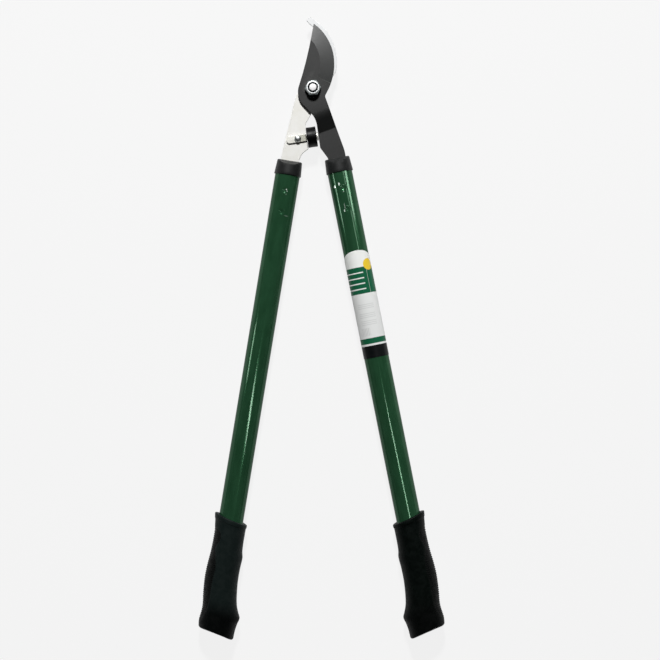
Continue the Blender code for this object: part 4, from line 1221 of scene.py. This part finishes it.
def gripLevels():
    # levels below the rim with the general inset of each
    flange, last = grip["flange"], grip["length"] - grip["rounding"]
    rows = [(0.0, 0.0011), (0.00025, 0.0005), (0.0007, 0.0001), (0.0013, 0.0), (0.0030, 0.0)]
    rows += [(flange - 0.0005, 0.0), (flange, 0.0001), (flange + 0.0004, 0.0004)]
    rows += [(flange + 0.0009, grip["flangeStep"])]
    level = flange + 0.0020
    while level < last - 0.0006:
        fade = 1 - smoothStep(flange + 0.002, grip["ribStart"] + 0.012, level)
        rows.append((level, grip["flangeStep"] * fade))
        level += grip["ribPitch"] / 6
    for angle in swept(82, 8):
        rows.append((last + grip["rounding"] * math.sin(angle), grip["rounding"] * (1 - math.cos(angle))))
    return rows


def ribShare(level, angle):
    start, end, fade = grip["ribStart"], grip["ribEnd"], 0.002
    if not start < level < end:
        return 0.0
    zone = catmull(ribZone, level / grip["length"], 1)
    turn = abs(math.degrees((angle + math.pi) % math.tau - math.pi))
    inside = 1 - smoothStep(zone - 4, zone + 1, turn)
    return inside * (smoothStep(start, start + fade, level) * (1 - smoothStep(end - fade, end, level)))


def makeGrip(name):
    side, turns = handles[name]["side"], roundTurn(120)
    tubeEnd = handles[name]["reach"] + tube["start"] + tube["length"]
    rim = tubeEnd + grip[name + "Gap"] - grip["boreDepth"]
    lip = []
    bottom = []
    for across, up in (polar(gripBore, angle) for angle in turns):
        lip.append((-side * across, rim - grip["rimSlant"] * across, up))
        bottom.append((-side * across, rim + grip["boreDepth"], up))
    rings = [bottom, lip]
    ribShares = [0.0] * (2 * len(turns))
    for level, inset in gripLevels():
        shares = [ribShare(level, angle) for angle in turns]
        wave = 0.5 - 0.5 * math.cos(math.tau * (level - grip["ribStart"]) / grip["ribPitch"])
        insets = [inset + grip["ribDepth"] * share * wave for share in shares]
        rings.append([gripPoint(side, rim, level, *place) for place in zip(turns, insets)])
        ribShares += shares
    piece = shown(name + "HandGrip", lofted(rings), gripVinyl[name], handleMatrix(name), 50)
    piece.data.attributes.new("ribbed", "FLOAT", "POINT").data.foreach_set("value", ribShares)
    return fitted(piece, name + "_grip", handles[name]["body"])


for name in sides:
    makeGrip(name)
print("grips made")

# label: a thin sleeve with plain generic print, no words

label = {
    "drop": 0.1084,
    "length": 0.1233,
    "halfAngle": 90,  # degrees
    "arch": 0.0100,
    "gap": 0.00015,
    "thickness": 0.0002,
    "paper": (0.81, 0.82, 0.80),
    "lowerPaper": (0.74, 0.75, 0.74),  # darker lower down
    "green": (0.006, 0.100, 0.045),
    "black": (0.0035, 0.0045, 0.0050),
    "yellow": (0.80, 0.56, 0.035),
    "grey": (0.50, 0.51, 0.50),
}

# plain print: spans along the handle from the collar's top, and round the tube
printed = {
    "paperDarkening": (0.145, 0.170),
    "field": (0.1279, 0.1581),
    "firstRule": 0.1335,
    "rulePitch": 0.0062,
    "ruleWidth": 0.0013,
    "ruleRound": (-0.0300, 0.0035),
    "paintedHighlightRound": (0.0079, 0.0083),
    "fineRules": ((0.1690, 0.1765), (0.1795, 0.1860), (0.1890, 0.1945)),
    "finePitch": 0.0021,
    "fineRound": (-0.0105, 0.0085),
    "stripes": (0.1975, 0.2065),
    "stripePitch": 0.0018,
    "stripeRound": (-0.0120, -0.0015),
    "lowBand": (0.2093, 0.2156),
    "endBand": (0.2179, 0.2400),
    "disc": (0.0118, 0.1258, 0.0),  # round, along
    "discEdge": (0.0065, 0.0068),
}

bandGroup, b, gIn, gOut = effectGroup("printedBand", "Mask", Place=0.0, Start=0.0, End=1.0)
soft = 0.00015
rise = b.ranged(gIn["Place"], b.math("SUBTRACT", gIn["Start"], soft), b.math("ADD", gIn["Start"], soft))
fall = b.ranged(gIn["Place"], b.math("SUBTRACT", gIn["End"], soft), b.math("ADD", gIn["End"], soft), 1.0, 0.0)
b.put(gOut, b.times(rise, fall))

gloss = {"Specular_IOR_Level": 0.1, "Coat_Weight": 0.04, "Coat_Roughness": 0.07, "Coat_IOR": 2.6}
labelPrint, b = finish("labelPrint", label["paper"], 0.40, **gloss)
place = b.split(b.place())
down = b.math("SUBTRACT", place["Y"], handles["right"]["reach"])  # along the handle, from the collar's top
aside = b.times(b.math("ARCTAN2", place["X"], place["Z"]), -tube["radius"])  # round the tube, outwards


def within(value, start, end):
    return b.use(bandGroup, Place=value, Start=start, End=end)


def block(spanDown, spanRound, *shares):
    return b.times(within(down, *spanDown), within(aside, *spanRound), *shares)


def ruled(value, pitch, level):
    return b.math("GREATER_THAN", b.math("SINE", b.times(value, math.tau / pitch)), level)


marks = [(within(down, *printed["field"]), "green")]
for rule in range(4):
    start = printed["firstRule"] + printed["rulePitch"] * rule
    marks.append((block((start, start + printed["ruleWidth"]), printed["ruleRound"]), "paper"))
# painted highlight: a thin pale line down the green field, standing for a lamp's line of light
marks.append((block(printed["field"], printed["paintedHighlightRound"], 0.5), "paper"))
fineLines = ruled(down, printed["finePitch"], 0.25)
for span in printed["fineRules"]:
    marks.append((block(span, printed["fineRound"], fineLines, 0.45), "grey"))
stripeLines = ruled(aside, printed["stripePitch"], 0.0)
marks.append((block(printed["stripes"], printed["stripeRound"], stripeLines, 0.6), "grey"))
marks.append((within(down, *printed["lowBand"]), "green"))
marks.append((within(down, *printed["endBand"]), "black"))
fromDisc = b.vector("DISTANCE", b.wired("ShaderNodeCombineXYZ", (aside, down)), printed["disc"])
marks.append((b.ranged(fromDisc, *printed["discEdge"], 1.0, 0.0), "yellow"))
colour = b.mixed(b.ranged(down, *printed["paperDarkening"]), label["paper"], label["lowerPaper"])
for mask, ink in marks:
    colour = b.mixed(mask, colour, label[ink])
crinkle = b.bump(b.noise(b.place(), 130.0, 2.0), 0.08, 0.0003)
b.dress(colour, b.clouds(300.0, give=(0.34, 0.48)), crinkle)

columns, rows = 48, 40
inner = tube["radius"] + label["gap"]
halfAngle = math.radians(label["halfAngle"])
arch = ((inner * halfAngle) ** 2 + label["arch"] ** 2) / (2 * label["arch"])
labelStart = handles["right"]["reach"] + label["drop"]
labelMesh = bmesh.new()
grid = {}
for skin, radius in enumerate((inner, inner + label["thickness"])):
    for row in range(rows + 1):
        for column in range(columns + 1):
            angle = halfAngle * (2 * column / columns - 1)
            top = labelStart + arch - math.sqrt(arch**2 - (inner * angle) ** 2)
            along = top + (labelStart + label["length"] - top) * row / rows
            grid[skin, row, column] = labelMesh.verts.new(aroundHandle(radius, angle, along))
for skin in (0, 1):
    for row in range(rows):
        for column in range(columns):
            labelMesh.faces.new([grid[skin, row + y, column + x] for x, y in rectangle(0, 0, 1, 1)])
border = [(0, c) for c in range(columns)] + [(r, columns) for r in range(rows)]
border += [(rows, c) for c in range(columns, 0, -1)] + [(r, 0) for r in range(rows, 0, -1)]
for here, after in zip(border, border[1:] + border[:1]):
    labelMesh.faces.new((grid[0, *here], grid[1, *here], grid[1, *after], grid[0, *after]))
labelPiece = shown("tubeLabel", labelMesh, labelPrint, handleMatrix("right"))
fitted(labelPiece, "handle_label", "blade_side")
print("label made")

# floor, lights, camera

studio = {
    "floorWhite": 0.930,
    "floorReach": 20.0,
    "shadowShare": 0.08,  # how much of the floor's look is real light and shadow
    "worldHorizon": 0.14,
    "worldTop": 0.015,
}

floorMaterial = bpy.data.materials.new("studioFloor")
floorMaterial.use_nodes = True
floorMaterial.node_tree.nodes.clear()
b = nodeBench(floorMaterial.node_tree)
white = (studio["floorWhite"],) * 3 + (1.0,)
diffuse = b.wired("ShaderNodeBsdfDiffuse", {"Color": white})
glow = b.wired("ShaderNodeEmission", {"Color": white, "Strength": 1.0})
seen = b.add("ShaderNodeLightPath").outputs
direct = b.math("MAXIMUM", seen["Is Camera Ray"], seen["Is Glossy Ray"])
share = b.times(b.math("MAXIMUM", direct, seen["Is Transmission Ray"]), 1 - studio["shadowShare"])
look = b.wired("ShaderNodeMixShader", (share, diffuse, glow))
b.put(b.add("ShaderNodeOutputMaterial").inputs["Surface"], look)

wide = studio["floorReach"]
floorMesh = bmesh.new()
floorMesh.faces.new([floorMesh.verts.new((x, y, cadLow.z)) for x, y in rectangle(-wide, -wide, wide, wide)])
floorPiece = shown("studioFloor", floorMesh, floorMaterial)

world = bpy.data.worlds.new("studioWorld")
bpy.context.scene.world = world
world.use_nodes = True
b = nodeBench(world.node_tree)
height = b.split(b.add("ShaderNodeTexCoord").outputs["Generated"])["Z"]
background = world.node_tree.nodes["Background"].inputs
background["Color"].default_value = (1.0, 1.0, 1.0, 1.0)
b.put(background["Strength"], b.ranged(height, 0.30, 0.55, studio["worldHorizon"], studio["worldTop"]))


def gathered(name, pieces):
    collection = bpy.data.collections.new(name)
    for piece in pieces:
        collection.objects.link(piece)
    return collection


def lamp(name, place, target, shape, size, power, up="X", lit=None):
    # a soft lamp; one with lit pieces draws lines of light along them and lights nothing else
    light = bpy.data.lights.new(name, "AREA")
    light.shape = shape
    light.size, light.size_y = size
    light.energy = power
    lampObject = bpy.data.objects.new(name, light)
    bpy.context.scene.collection.objects.link(lampObject)
    lampObject.location = place
    lampObject.rotation_euler = (Vector(place) - Vector(target)).to_track_quat("Z", up).to_euler()
    if lit is not None:
        lampObject.light_linking.receiver_collection = lit
        lampObject.visible_camera = False
    return lampObject


keyLight = {"target": (0.0, -0.05, 0.0), "elevation": 48.5, "distance": 2.4, "size": 0.32, "power": 66.0}
glints = {  # place, target, size and power of each
    "leftGlint": ((-0.695, -0.200, 0.290), (-0.02, -0.21, 0.01), (0.13, 0.085), 0.34),
    "rightGlint": ((1.0, 0.165, 0.75), (0.04, -0.10, 0.01), (0.36, 0.12), 2.1),
    "rightGlow": ((0.62, 0.105, 1.04), (0.03, -0.11, 0.01), (0.12, 0.62), 1.5),
    "topStrip": ((0.350, -0.535, 1.600), (0.350, -0.535, 0.0), (0.50, 0.080), 2.6),
}
rise = math.radians(keyLight["elevation"])
way = Vector((0.0, math.cos(rise), math.sin(rise)))
keyPlace = Vector(keyLight["target"]) + way * keyLight["distance"]
lamp("keyLamp", keyPlace, keyLight["target"], "DISK", (keyLight["size"],) * 2, keyLight["power"], "Y")
glossPieces = gathered("glossPieces", (*tubePieces, labelPiece))
glowPieces = gathered("glowPieces", tubePieces[1:])
glintLamps = {}
for name, (place, target, size, power) in glints.items():
    lit = glowPieces if name == "rightGlow" else glossPieces
    glintLamps[name] = lamp(name, place, target, "RECTANGLE", size, power, lit=lit)
glintLamps["topStrip"].rotation_euler = (0.0, 0.0, math.radians(-22.8))  # across the right handle

view = {
    "place": (0.01487, -0.27575, 2.01085),
    "roll": -0.96,  # degrees
    "lens": 95.44,
}
cameraData = bpy.data.cameras.new("photoCamera")
cameraData.lens = view["lens"]
cameraData.sensor_width = 36.0
cameraData.clip_start = 0.1
cameraData.clip_end = 60.0
camera = bpy.data.objects.new("photoCamera", cameraData)
bpy.context.scene.collection.objects.link(camera)
camera.location = view["place"]
camera.rotation_euler = (0.0, 0.0, math.radians(view["roll"]))
bpy.context.scene.camera = camera
bpy.context.scene.view_settings.view_transform = "Standard"
print("stage set")
